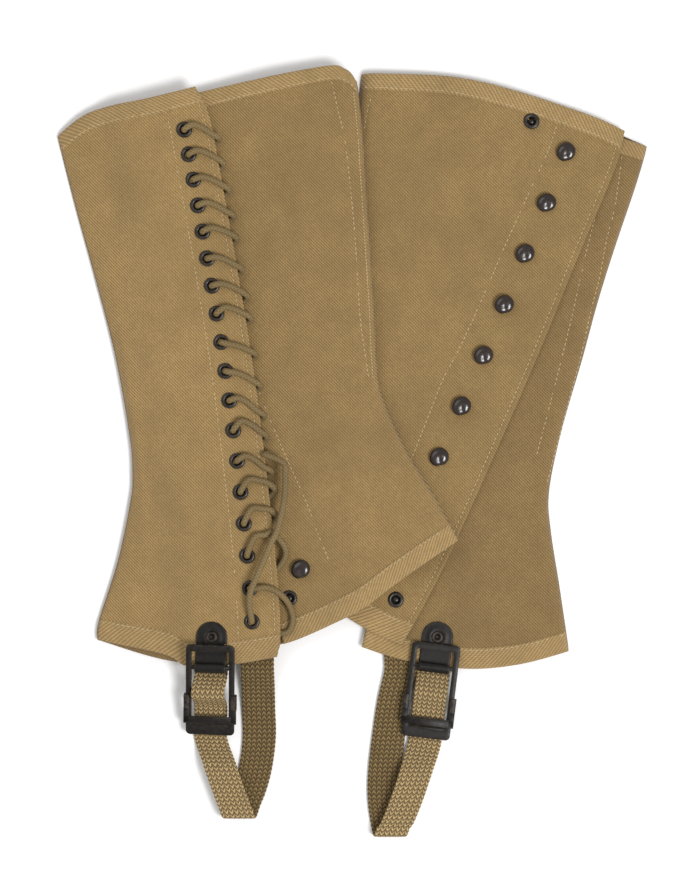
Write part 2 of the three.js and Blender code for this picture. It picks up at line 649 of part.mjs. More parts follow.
{
  const edges = panelEdges(rightHiddenEdge, rightFrontFold, [[-86, 206.5], [-18.5, 220.5], [-3, 219]],
    [[-30, -107], [-13, -99.5], [7.5, -89], [28, -73.5]]);
  const surface = patch(edges);
  const { top, bottom, seam } = legRows;
  const holes = [shankHole(rightHook), eyeletHole(rightFrontEyelet)];
  const columns = spread(0, 1, 6);
  const cloth = sheet(surface, {
    columns, rows: spread(top + seam, bottom - seam, ROWS), height: level(FRONT_BASE), thickness: CANVAS,
  });
  add(flat, "right_front_panel", pierced(cloth, holes), khaki);
  const strip = sheet(surface, {
    columns: spread(0, 0.3, 2),
    rows: spread(0.02, 0.97, ROWS),
    height: level(HOOK_FACING_BASE),
    thickness: FACING,
  });
  add(flat, "right_hook_facing", pierced(strip, holes), khaki);
  for (const [name, rows] of [["top", [0, top]], ["bottom", [bottom, 1]]])
    add(flat, "right_front_" + name + "_binding", sheet(surface, {
      columns, rows, height: level(FRONT_BASE), thickness: CANVAS,
    }), tape);
}

// The eyelet flap rises from its fold to lie over the lace.
const rightEyelets = Array.from({ length: EYELET_COUNT }, (_, k) => {
  const y = (EYELET_TOP - k * EYELET_FIRST_PITCH - k * k * EYELET_PITCH_GROWTH) * lengthGrade;
  return new THREE.Vector2(crossing(rightFreeEdge, y).x - EYELET_INSET, y);
});
const FLAP_RISE_SHARE = 0.33;
{
  const fold = straight(rightTurnTop, rightTurnBottom);
  const hem = [[-94, -122.5], [-68.5, -121.5]];
  const surface = patch(panelEdges(fold, rightFreeEdge, [[-116.5, 202.5]], hem));
  const { top, bottom, seam } = legRows;
  const facingFrom = 1 - EYELET_FACING_SHARE;
  const columns = [...spread(0, FLAP_RISE_SHARE, 3), facingFrom, 1];
  const rise = FLAP_BASE - FOLD_BASE;
  const height = (s) => FOLD_BASE + rise * THREE.MathUtils.smoothstep(s, 0, FLAP_RISE_SHARE);
  const holes = rightEyelets.map(eyeletHole);
  const rows = spread(top + seam, bottom - seam, ROWS);
  const cloth = sheet(surface, { columns, rows, height, thickness: CANVAS });
  add(flat, "right_eyelet_flap", pierced(cloth, [...holes, rivetHole(rightRivet)]), khaki);
  const strip = sheet(surface, {
    columns: [facingFrom, 1],
    rows: spread(0.02, 0.97, ROWS),
    height: level(EYELET_FACING_BASE),
    thickness: FACING,
  });
  add(flat, "right_eyelet_facing", pierced(strip, holes), khaki);
  const binding = (span) => sheet(surface, { columns, rows: span, height, thickness: CANVAS });
  add(flat, "right_flap_top_binding", binding([0, top]), tape);
  add(flat, "right_flap_bottom_binding", binding([bottom, 1]), tape);
}
rightEyelets.forEach((p, k) => {
  const name = "right_eyelet_" + String(k + 1).padStart(2, "0");
  add(flat, name, eyeletGeometry(clothAndFacing, true), blackened, eyeletSeat(p, FLAP_TOP));
});
add(flat, "right_hook", hookGeometry(clothAndFacing), blackened, eyeletSeat(rightHook, FRONT_TOP));
const frontEyelet = eyeletGeometry(clothAndFacing, false);
add(flat, "right_front_eyelet", frontEyelet, blackened, eyeletSeat(rightFrontEyelet, FRONT_TOP));

const rightFrame = buckle(flat, "right", rightRivet, FLAP_TOP, RIGHT_BUCKLE_DROP, RIGHT_BUCKLE_TURN);

// ---------------------------------------------------------------------------------------------
// The lace: up through each eyelet, over the flap's edge, under it and up through the next one. The
// last turn runs back under the flap, comes out higher up as a long loop and ends in the last eyelet.
class LacePath extends THREE.Curve {
  constructor(points) {
    super();
    this.points = points;
  }
  getPoint(t, target = new THREE.Vector3()) {
    const place = t * (this.points.length - 1);
    const i = Math.min(Math.floor(place), this.points.length - 2);
    return target.lerpVectors(this.points[i], this.points[i + 1], place - i);
  }
  getTangent(t, target = new THREE.Vector3()) {
    const last = this.points.length - 1;
    const i = Math.round(t * last);
    return target.subVectors(this.points[Math.min(i + 1, last)], this.points[Math.max(i - 1, 0)]).normalize();
  }
  // A step at each chosen point, close together at the bends.
  getPointAt(t, target) {
    return this.getPoint(t, target);
  }
  getTangentAt(t, target) {
    return this.getTangent(t, target);
  }
}

const EDGE_MIDDLE = (EYELET_FACING_BASE + FLAP_TOP) / 2;
const EDGE_REACH = (FLAP_TOP - EYELET_FACING_BASE) / 2 + GAP + LACE_DIAMETER / 2;
const lacePoints = [];
const lay = (x, y, z) => lacePoints.push(new THREE.Vector3(x, y, z));
const edgeX = (y) => crossing(rightFreeEdge, y).x;

// How each stitch lies: how far above its eyelet it arches, where it starts and ends its turn round the
// flap's edge, both measured up from its eyelet, and how far it stands out from the edge.
const STITCHES = [
  [3.5, -2.9, -7, 0],
  [2.8, -2.5, -8.3, 0],
  [1.8, -3, -8.9, 0.5],
  [2, -3.6, -8.7, 0.5],
  [2.7, -1.3, -6.5, 0],
  [1, -4, -8.7, 0],
  [1.5, -3, -9.4, 0.5],
  [4.5, 0, -5.5, 0.5],
  [-1.5, -5, -9.5, 0],
  [-1, -6, -11, 0],
  [1.8, -6.3, -11, 0],
  [6.8, -0.7, -6.5, 0],
  [3.7, -3.8, -8, 0],
  [9, 5.5, -2.5, 1],
  [11, 8, 0.5, 0.5],
  [14, 13.5, -8, 3.5],
];

// Round the flap's edge from its top at height y to its underside at end, or back up again.
function roundEdge(y, end, bulge, downwards) {
  const turn = [0.5, 0.3, 0.1, -0.1, -0.3, -0.5];
  turn.forEach((share, i) => {
    const angle = (downwards ? share : -share) * Math.PI;
    const reach = (EDGE_REACH + bulge) * Math.cos(angle);
    const down = THREE.MathUtils.lerp(y, end, i / 5);
    lay(edgeX(down) + reach, down, EDGE_MIDDLE + EDGE_REACH * Math.sin(angle));
  });
}
function riseThrough(eyelet, side) {
  lay(eyelet.x + side * LACE_BEND, eyelet.y, LACE_UNDER);
  lay(eyelet.x + side * 0.3 * LACE_BEND, eyelet.y, LACE_UNDER + 0.3 * LACE_BEND);
  lay(eyelet.x, eyelet.y, LACE_UNDER + LACE_BEND);
  lay(eyelet.x, eyelet.y, LACE_OVER - LACE_BEND);
}
// Out of the eyelet over its rim, leaning up the leg as far as the stitch arches.
function leanOut(eyelet, arch) {
  const angle = Math.atan2(arch, 5);
  for (const [share, sink] of [[0.3, 0.3], [1, 0]]) {
    const out = share * LACE_BEND;
    lay(eyelet.x + out * Math.cos(angle), eyelet.y + out * Math.sin(angle), LACE_OVER - sink * LACE_BEND);
  }
}

const first = rightEyelets[0];
lay(first.x - 16, first.y, LACE_UNDER);
lay(first.x - 9, first.y, LACE_UNDER);
STITCHES.forEach(([arch, start, end, bulge], k) => {
  const eyelet = rightEyelets[k];
  riseThrough(eyelet, k ? 1 : -1);
  leanOut(eyelet, arch);
  const wide = edgeX(eyelet.y) - eyelet.x;
  lay(eyelet.x + 0.33 * wide, eyelet.y + arch * 0.8, LACE_OVER);
  lay(eyelet.x + 0.68 * wide, eyelet.y + arch * 0.8 + (start - arch * 0.8) * 0.35, LACE_OVER);
  roundEdge(eyelet.y + start, eyelet.y + end, bulge, true);
});

// The turn from the last eyelet but one lies out on the front panel before it goes under the flap.
const [beforeLast, lastEyelet] = rightEyelets.slice(-2);
riseThrough(beforeLast, 1);
leanOut(beforeLast, 0);
const fromLast = (dx, dy, z) => lay(lastEyelet.x + dx, lastEyelet.y + dy, z);
fromLast(9, 19.5, LACE_OVER);
fromLast(15, 17, LACE_OVER);
fromLast(19.5, 12.5, LACE_OVER - 2.5);
fromLast(22.3, 6.7, LACE_UNDER + 1.5);
fromLast(23.2, 0.4, LACE_UNDER + 0.3);
fromLast(20.5, -6, LACE_UNDER);
// Back under the flap and up inside the eyelets.
fromLast(15, -6.5, LACE_UNDER);
fromLast(9, -1.5, LACE_UNDER);
fromLast(4.5, 6.5, LACE_UNDER);
fromLast(-3, 11, LACE_UNDER);
fromLast(-12, 18, LACE_UNDER);
fromLast(-15, 32, LACE_UNDER);
fromLast(-16, 60, LACE_UNDER);
const looseFrom = rightEyelets[12];
lay(looseFrom.x - 8, looseFrom.y - 16, LACE_UNDER);
lay(looseFrom.x - 1, looseFrom.y - 9, LACE_UNDER);
lay(looseFrom.x + 7, looseFrom.y - 3.5, LACE_UNDER);
const looseY = looseFrom.y + 4;
lay(edgeX(looseY) - 5, looseY - 2, LACE_UNDER);
roundEdge(looseY, looseY, 0, false);
// The long loop, over the last stitches and down into the last eyelet.
const OVER_STITCHES = LACE_OVER + LACE_DIAMETER + GAP;
const LOOSE = [
  [19, 90.5, 0.3],
  [19.5, 83.5, 0.4],
  [19.5, 75.5, 0.7],
  [18.5, 66.5, 1],
  [17, 59.5, 1],
  [15, 52, 1],
  [12, 46, 1],
  [9, 39, 1],
  [6, 32, 1],
  [3, 25, 1.1],
  [0, 18, 1.1],
  [-1, 11.5, 0.7],
  [-0.7, 6, 0.2],
];
LOOSE.forEach(([dx, dy, lift]) => fromLast(dx, dy, THREE.MathUtils.lerp(LACE_OVER, OVER_STITCHES, lift)));
fromLast(0, LACE_BEND, LACE_OVER);
fromLast(0, 0.3 * LACE_BEND, LACE_OVER - 0.3 * LACE_BEND);
fromLast(0, 0, LACE_OVER - LACE_BEND);
fromLast(0, 0, LACE_UNDER + LACE_BEND);
fromLast(-0.3 * LACE_BEND, 0, LACE_UNDER + 0.3 * LACE_BEND);
fromLast(-LACE_BEND, 0, LACE_UNDER);
fromLast(-9, 0, LACE_UNDER);
{
  const section = new THREE.Shape(
    spread(0, 2 * Math.PI, 8).slice(0, 8).map((a) =>
      new THREE.Vector2((Math.cos(a) * LACE_DIAMETER) / 2, (Math.sin(a) * LACE_DIAMETER) / 2)),
  );
  const path = new LacePath(lacePoints);
  const tube = new THREE.ExtrudeGeometry(section, { steps: lacePoints.length - 1, extrudePath: path });
  add(flat, "right_lace", tube, cordage);
}

// ---------------------------------------------------------------------------------------------
// Instep straps.
pair.updateMatrixWorld(true);
const rightStations = strapStations(flat, rightFrame, at(-54, -120), {
  back: [[0.3, -15, 3.5], [0.5, -27, 0.6], [1, -45], [-1, -62], [-4.5, -77]],
  turn: [-10.5, -90],
  front: [[-13.5, -82], [-17.5, -73], [-21, -61]],
  bulge: { x: -1.2, z: 4 },
  tailLevel: CANVAS + 3.4,
});
const leftStations = strapStations(left, leftFrame, at(28, -120.5), {
  back: [[-4, -22.5], [-7, -43], [-9.5, -64], [-10, -82]],
  turn: [-7, -100],
  front: [[-2, -93], [3, -80], [8, -65]],
  bulge: { x: 0, z: -0.6 },
  tailLevel: CANVAS + GAP + WEB_THICKNESS / 2,
});
add(pair, "right_strap", strapGeometry(rightStations, 44), webbing);
add(pair, "left_strap", strapGeometry(leftStations, 44), webbing);

export default pair;
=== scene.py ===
import json
import logging
import math
from collections.abc import Callable, Sequence
from dataclasses import dataclass, field
from enum import Enum

import bmesh
import bpy
import numpy as np
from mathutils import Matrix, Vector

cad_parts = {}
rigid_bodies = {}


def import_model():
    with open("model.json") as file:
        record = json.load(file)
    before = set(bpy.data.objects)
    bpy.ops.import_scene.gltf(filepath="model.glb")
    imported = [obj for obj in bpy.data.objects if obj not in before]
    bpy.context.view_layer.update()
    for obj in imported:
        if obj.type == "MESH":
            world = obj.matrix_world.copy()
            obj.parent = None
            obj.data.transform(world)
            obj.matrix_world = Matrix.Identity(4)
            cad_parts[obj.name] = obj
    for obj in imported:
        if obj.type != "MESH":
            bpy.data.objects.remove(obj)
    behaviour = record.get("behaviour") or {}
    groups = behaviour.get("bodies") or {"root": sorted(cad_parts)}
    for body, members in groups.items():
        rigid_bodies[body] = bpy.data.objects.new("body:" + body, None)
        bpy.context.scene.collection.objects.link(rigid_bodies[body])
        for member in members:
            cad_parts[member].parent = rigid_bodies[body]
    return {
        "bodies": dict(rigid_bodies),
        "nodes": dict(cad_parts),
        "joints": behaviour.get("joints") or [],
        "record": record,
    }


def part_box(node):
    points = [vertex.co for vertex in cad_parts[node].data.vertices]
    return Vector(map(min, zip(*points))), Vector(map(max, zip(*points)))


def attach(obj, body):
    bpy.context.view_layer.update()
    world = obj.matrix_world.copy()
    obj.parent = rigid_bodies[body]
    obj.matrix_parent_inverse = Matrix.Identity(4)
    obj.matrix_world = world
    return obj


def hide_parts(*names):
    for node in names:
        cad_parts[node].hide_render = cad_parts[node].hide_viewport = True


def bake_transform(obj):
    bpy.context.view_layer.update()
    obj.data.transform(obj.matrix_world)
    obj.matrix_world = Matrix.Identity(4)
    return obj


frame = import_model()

Array = np.ndarray
Height = Callable[[Array], Array]
MM = 0.001
GAP = 0.3  # left between neighbouring parts, in millimetres
log = logging.getLogger("gaiters")


# ---------------------------------------------------------------- lines and surfaces
def spline(points: Sequence[Sequence[float]], steps: int = 24, centripetal: bool = False) -> Array:
    """A Catmull-Rom line: each span is the cubic whose end slopes come from the neighbouring points.

    Args:
        points: The points to pass through, each with two or three numbers.
        steps: Short steps on each span.
        centripetal: Whether spans are timed by the root of their length, which keeps tight bends from
            overshooting.

    Returns:
        The line's points, one row each.
    """
    p = np.asarray(points, float)
    if centripetal:
        q = np.vstack([2 * p[:1] - p[1:2], p, 2 * p[-1:] - p[-2:-1]])
        gap = np.sqrt(np.linalg.norm(np.diff(q, axis=0), axis=1))
    else:
        q = np.vstack([p[:1], p, p[-1:]])
        gap = np.ones(len(q) - 1)
    k = np.arange(len(p) - 1)
    x0, x1, x2, x3 = (q[k + i] for i in range(4))
    d0, d1, d2 = (gap[k + i][:, None] for i in range(3))
    u = ((x1 - x0) / d0 - (x2 - x0) / (d0 + d1) + (x2 - x1) / d1) * d1
    v = ((x2 - x1) / d1 - (x3 - x1) / (d1 + d2) + (x3 - x2) / d2) * d1
    w = np.linspace(0, 1, steps, endpoint=False)[None, :, None]
    body = x1[:, None] + u[:, None] * w + (3 * (x2 - x1) - 2 * u - v)[:, None] * w**2
    body = body + (2 * (x1 - x2) + u + v)[:, None] * w**3
    return np.vstack([body.reshape(-1, p.shape[1]), p[-1:]])


def unit(vectors: Array) -> Array:
    """Each vector of the last side, scaled to length 1."""
    return vectors / np.maximum(np.linalg.norm(vectors, axis=-1, keepdims=True), 1e-12)


def runs(points: Array) -> Array:
    """The length along a row of points at each of them."""
    return np.concatenate([[0.0], np.cumsum(np.linalg.norm(np.diff(points, axis=0), axis=1))])


def smooth_step(value: Array) -> Array:
    """A rise from 0 to 1 that is level at both ends: 3 v squared less 2 v cubed."""
    v = np.clip(value, 0, 1)
    return v * v * (3 - 2 * v)


@dataclass(frozen=True)
class Line:
    """A line on the flat cloth or in space, held as many short steps, in millimetres."""

    points: Array

    @classmethod
    def through(cls, *points: Sequence[float]) -> "Line":
        """The smooth line through the points."""
        return cls(spline(points))

    @classmethod
    def straight(cls, *points: Sequence[float]) -> "Line":
        """The straight runs from each point to the next."""
        return cls(np.asarray(points, float))

    def arc(self) -> Array:
        """The length along the line at each of its points."""
        return runs(self.points)

    def at(self, share: Array) -> Array:
        """The points at these shares of the line's length."""
        arc = self.arc()
        place = np.asarray(share, float) * arc[-1]
        return np.stack([np.interp(place, arc, axis) for axis in self.points.T], -1)

    def x_at(self, y: Array) -> Array:
        """Where the line crosses each height."""
        order = np.argsort(self.points[:, 1])
        return np.interp(y, self.points[order, 1], self.points[order, 0])

    def nearest(self, places: Array) -> tuple[Array, Array]:
        """How near the line comes to each place.

        Args:
            places: Points of the flat cloth, in an array of any shape whose last side is 2.

        Returns:
            The distance to the line, and the length along the line there.
        """
        flat = places.reshape(-1, 2)
        start, run = self.points[:-1, :2], np.diff(self.points[:, :2], axis=0)
        share = np.einsum("nk,mk->nm", flat, run) - np.einsum("mk,mk->m", start, run)
        share = np.clip(share / np.maximum((run**2).sum(1), 1e-9), 0, 1)
        apart = flat[:, None] - start - share[..., None] * run
        distance = np.sqrt((apart**2).sum(2))
        best = distance.argmin(1)
        rows = np.arange(len(flat))
        along = self.arc()[best] + share[rows, best] * np.linalg.norm(run, axis=1)[best]
        return distance[rows, best].reshape(places.shape[:-1]), along.reshape(places.shape[:-1])


@dataclass(frozen=True)
class Patch:
    """A Coons patch of flat cloth: the sum of the two ruled surfaces between opposite edges, less the
    bilinear surface between the four corners."""

    left: Line
    right: Line
    top: Line
    bottom: Line

    @classmethod
    def between(
        cls, left: Line, right: Line, top: Sequence[Sequence[float]], bottom: Sequence[Sequence[float]]
    ) -> "Patch":
        """The patch between two side edges, its top and bottom passing through the given points."""
        l, r = left.points, right.points
        return cls(left, right, Line.through(l[0], *top, r[0]), Line.through(l[-1], *bottom, r[-1]))

    def at(self, s: Array, t: Array) -> Array:
        """The points at shares s from left to right and t from top to bottom."""
        a, b = self.left.points[0], self.right.points[0]
        c, d = self.left.points[-1], self.right.points[-1]
        down, across = (self.left.at(t), self.right.at(t)), (self.top.at(s), self.bottom.at(s))
        s, t = np.asarray(s)[..., None], np.asarray(t)[..., None]
        ruled = down[0] * (1 - s) + down[1] * s + across[0] * (1 - t) + across[1] * t
        return ruled - (a * (1 - s) * (1 - t) + b * s * (1 - t) + c * (1 - s) * t + d * s * t)

    def cut(self) -> tuple[float, float, float]:
        """The width, length and area of the flat cut, in metres: the outline's box and shoelace area."""
        share = np.linspace(0, 1, 60)
        loop = np.vstack([self.top.at(share), self.right.at(share)])
        loop = np.vstack([loop, self.bottom.at(share)[::-1], self.left.at(share)[::-1]]) * MM
        x, y = loop.T
        area = abs(np.dot(x, np.roll(y, -1)) - np.dot(y, np.roll(x, -1))) / 2
        return float(np.ptp(x)), float(np.ptp(y)), float(area)


@dataclass
class Surface:
    """A mesh in the making: points in millimetres, faces, and a flat place for each face corner."""

    points: Array
    quads: Array
    tris: Array
    uv: Array
    wear: Array | None = None

    @staticmethod
    def joined(surfaces: Sequence["Surface"]) -> "Surface":
        """Several surfaces as one."""
        start = np.cumsum([0] + [len(s.points) for s in surfaces[:-1]])
        corners = [4 * len(s.quads) for s in surfaces]
        uv = [s.uv[:n] for s, n in zip(surfaces, corners)] + [s.uv[n:] for s, n in zip(surfaces, corners)]
        wear = [np.zeros(len(s.points)) if s.wear is None else s.wear for s in surfaces]
        return Surface(
            np.vstack([s.points for s in surfaces]),
            np.vstack([s.quads + n for s, n in zip(surfaces, start)]),
            np.vstack([s.tris + n for s, n in zip(surfaces, start)]),
            np.vstack(uv),
            np.concatenate(wear),
        )


def grid_quads(rows: int, columns: int, around: bool = False) -> tuple[Array, Array]:
    """The quads of a grid of points.

    Args:
        rows: Rows of points.
        columns: Points in each row.
        around: Whether each row closes on itself.

    Returns:
        The quads, and each quad's corners as places in a grid with one more column where rows close.
    """
    r, c = np.meshgrid(np.arange(rows - 1), np.arange(columns if around else columns - 1), indexing="ij")
    r, c = r.ravel(), c.ravel()
    corner = np.stack([np.stack([r, r, r + 1, r + 1], -1), np.stack([c, c + 1, c + 1, c], -1)], -1)
    return corner[..., 0] * columns + corner[..., 1] % columns, corner


def loft(rings: Array, uv: Array, wear: Array | None = None, closed: bool = False) -> Surface:
    """A profile carried along a path: ring after ring joined by quads, with a fan on each end.

    Args:
        rings: The rings' points, shaped stations by points by 3.
        uv: A flat place for each, with one more point in each ring for the seam.
        wear: How worn each point of the ring is, from 0 to 1.
        closed: Whether the last ring meets the first, so that there are no ends.

    Returns:
        The closed surface.
    """
    stations, count = rings.shape[:2]
    if closed:
        rings = np.concatenate([rings, rings[:1]])
        uv = np.concatenate([uv, uv[:1]])
    quads, corner = grid_quads(stations + closed, count, True)
    quads = quads % (stations * count)
    places = uv[corner[..., 0], corner[..., 1]].reshape(-1, 2)
    points = rings[:stations].reshape(-1, 3)
    worn = None if wear is None else np.tile(wear, stations)
    if closed:
        return Surface(points, quads, np.zeros((0, 3), int), places, worn)
    k = np.arange(count)
    n = len(points)
    last = (stations - 1) * count
    tris = np.vstack([np.stack([(k + 1) % count, k, np.full(count, n)], 1),
                      np.stack([last + k, last + (k + 1) % count, np.full(count, n + 1)], 1)])
    fan = np.vstack([np.repeat(uv[0, :1], 3 * count, 0), np.repeat(uv[-1, :1], 3 * count, 0)])
    points = np.vstack([points, rings[0].mean(0), rings[-1].mean(0)])
    worn = None if worn is None else np.append(worn, [0, 0])
    return Surface(points, quads, tris, np.vstack([places, fan]), worn)


def shell(top: Array, uv: Array, thickness: float) -> Surface:
    """A closed sheet under a grid of points: each point is offset against the surface's normal, and a
    row between the two layers, a little further out, rounds the edge.

    Args:
        top: The upper face's points, shaped rows by columns by 3.
        uv: A flat place for each.
        thickness: The sheet's thickness.

    Returns:
        The closed surface.
    """
    down, across = np.gradient(top, axis=0), np.gradient(top, axis=1)
    normal = np.cross(down, across)
    normal /= np.maximum(np.linalg.norm(normal, axis=2, keepdims=True), 1e-9)
    normal *= np.sign(normal[..., 2].mean())
    under = top - normal * thickness
    rows, columns = top.shape[:2]
    quads, corner = grid_quads(rows, columns)
    r = np.concatenate([np.zeros(columns - 1, int), np.arange(rows - 1),
                        np.full(columns - 1, rows - 1), np.arange(rows - 1, 0, -1)])
    c = np.concatenate([np.arange(columns - 1), np.full(rows - 1, columns - 1),
                        np.arange(columns - 1, 0, -1), np.zeros(rows - 1, int)])
    inward = top[np.clip(r, 1, rows - 2), np.clip(c, 1, columns - 2)] - top[r, c]
    out = -inward / np.maximum(np.linalg.norm(inward, axis=1, keepdims=True), 1e-9)
    rim = (top[r, c] + under[r, c]) / 2 + out * thickness * 0.35
    n, size = rows * columns, len(r)
    edge, middle = r * columns + c, 2 * n + np.arange(size)
    next_edge, next_middle = np.roll(edge, -1), np.roll(middle, -1)
    upper = np.stack([edge, middle, next_middle, next_edge], 1)
    lower = np.stack([middle, edge + n, next_edge + n, next_middle], 1)
    places = uv[corner[..., 0], corner[..., 1]].reshape(-1, 2)
    side = uv[r, c]
    side = np.stack([side, side, np.roll(side, -1, axis=0)], 1)
    side = np.concatenate([side, side[:, 2:]], 1).reshape(-1, 2)
    return Surface(
        np.vstack([top.reshape(-1, 3), under.reshape(-1, 3), rim]),
        np.vstack([quads, quads[:, ::-1] + n, upper, lower]),
        np.zeros((0, 3), int),
        np.vstack([places, places.reshape(-1, 4, 2)[:, ::-1].reshape(-1, 2), side, side]),
    )


def lathe(profile: Sequence[Sequence[float]], sides: int = 28, lobes: Height | None = None) -> Surface:
    """A turned piece: the half profile carried round Z.

    Args:
        profile: Radius and height of each point, from the middle of the bottom to the middle of the top.
        sides: Points round each ring.
        lobes: The share by which the radius changes with the angle.

    Returns:
        The closed surface, standing on the origin.
    """
    half = np.asarray(profile, float)
    angle = np.linspace(0, 2 * math.pi, sides, endpoint=False)
    swell = np.ones(sides) if lobes is None else 1 + lobes(angle)
    r = half[:, 0, None] * swell
    rings = np.stack([r * np.cos(angle), r * np.sin(angle), np.repeat(half[:, 1, None], sides, 1)], -1)
    step = runs(half)
    uv = np.stack(np.broadcast_arrays(np.linspace(0, 1, sides + 1)[None] * 0.03, step[:, None] * MM), -1)
    return loft(rings, uv)


def ring_lathe(section: Sequence[Sequence[float]], sides: int = 32) -> Surface:
    """A turned ring: a closed section of radius and height carried all the way round Z."""
    loop = np.asarray(section, float)
    angle = np.linspace(0, 2 * math.pi, sides, endpoint=False)[:, None]
    rings = np.stack(np.broadcast_arrays(
        loop[None, :, 0] * np.cos(angle), loop[None, :, 0] * np.sin(angle), loop[None, :, 1]), -1)
    uv = np.stack(np.broadcast_arrays(np.linspace(0, 1, len(loop) + 1)[None] * 0.01, angle * 0.004), -1)
    return loft(rings, uv, closed=True)


def frames_along(path: Array, hint: Array) -> tuple[Array, Array, Array]:
    """Directions along a path that turn with it and don't twist.

    The first side direction is the hint's part across the path. Each next one is turned back by the
    running sum of the twists between neighbours.

    Args:
        path: The path's points.
        hint: A direction that isn't along the path's start.

    Returns:
        The unit directions along, to the side and up, at each point.
    """
    along = unit(np.gradient(path, axis=0))
    guess = np.where(np.abs(along @ hint)[:, None] > 0.9, np.roll(hint, 1), hint)
    side = unit(guess - (guess * along).sum(1, keepdims=True) * along)
    before = side[:-1] - (side[:-1] * along[1:]).sum(1, keepdims=True) * along[1:]
    twist = np.arctan2((np.cross(before, side[1:]) * along[1:]).sum(1), (before * side[1:]).sum(1))
    total = np.concatenate([[0.0], np.cumsum(twist)])[:, None]
    side = side * np.cos(total) - np.cross(along, side) * np.sin(total)
    return along, side, np.cross(along, side)


# ---------------------------------------------------------------- finishes
class Graph:
    """Adds shader nodes to a node tree in few words.

    A group's graph also has the inputs it is given and the results it puts out.
    """

    given: "bpy.types.NodeOutputs"
    result: "bpy.types.NodeInputs"

    def __init__(self, tree: bpy.types.NodeTree) -> None:
        """Works on this node tree."""
        self.tree = tree

    def node(self, kind: str, **settings: object) -> bpy.types.Node:
        """A new node with these settings."""
        made = self.tree.nodes.new(kind)
        for key, value in settings.items():
            setattr(made, key, value)
        return made

    def feed(self, socket: bpy.types.NodeSocket, value: object) -> None:
        """Links a socket into another, or sets its value."""
        if isinstance(value, bpy.types.NodeSocket):
            self.tree.links.new(value, socket)
        else:
            socket.default_value = value

    def math(self, operation: str, *values: object) -> bpy.types.NodeSocket:
        """The result of one Math node."""
        made = self.node("ShaderNodeMath", operation=operation)
        for socket, value in zip(made.inputs, values):
            self.feed(socket, value)
        return made.outputs[0]

    def parts(self, vector: object) -> tuple[object, object]:
        """The first two parts of a vector."""
        made = self.node("ShaderNodeSeparateXYZ")
        self.feed(made.inputs[0], vector)
        return made.outputs[0], made.outputs[1]

    def wave(self, phase: object) -> bpy.types.NodeSocket:
        """A sine from 0 to 1 of a phase in whole turns."""
        turned = self.math("SINE", self.math("MULTIPLY", phase, 2 * math.pi))
        return self.math("MULTIPLY_ADD", turned, 0.5, 0.5)

    def noise(self, vector: object, scale: float, detail: float = 3.0) -> bpy.types.NodeSocket:
        """A noise from about 0 to 1."""
        made = self.node("ShaderNodeTexNoise")
        self.feed(made.inputs["Vector"], vector)
        made.inputs["Scale"].default_value = scale
        made.inputs["Detail"].default_value = detail
        return made.outputs["Fac"]

    def spread(self, value: object, low: float, high: float, to: tuple[float, float] = (0, 1)) -> object:
        """A value mapped from low..high to another range, and held inside it."""
        made = self.node("ShaderNodeMapRange", clamp=True)
        for socket, number in zip(made.inputs, (value, low, high, *to)):
            self.feed(socket, number)
        return made.outputs[0]

    def mix(self, share: object, a: object, b: object) -> bpy.types.NodeSocket:
        """A colour between two colours."""
        made = self.node("ShaderNodeMix", data_type="RGBA")
        for socket, value in zip((made.inputs[0], made.inputs[6], made.inputs[7]), (share, a, b)):
            self.feed(socket, value)
        return made.outputs[2]

    def place(self, name: str, **values: object) -> bpy.types.Node:
        """A shared group placed here with its own values."""
        made = self.node("ShaderNodeGroup", node_tree=bpy.data.node_groups[name])
        for key, value in values.items():
            self.feed(made.inputs[key.replace("_", " ")], value)
        return made


class Effect(Enum):
    """The shared effects, each a node group."""

    TWILL = "twill_weave"
    WEBBING = "webbing_weave"
    BRAID = "cord_braid"
    MOTTLE = "mottle"
    WEAR = "edge_wear"


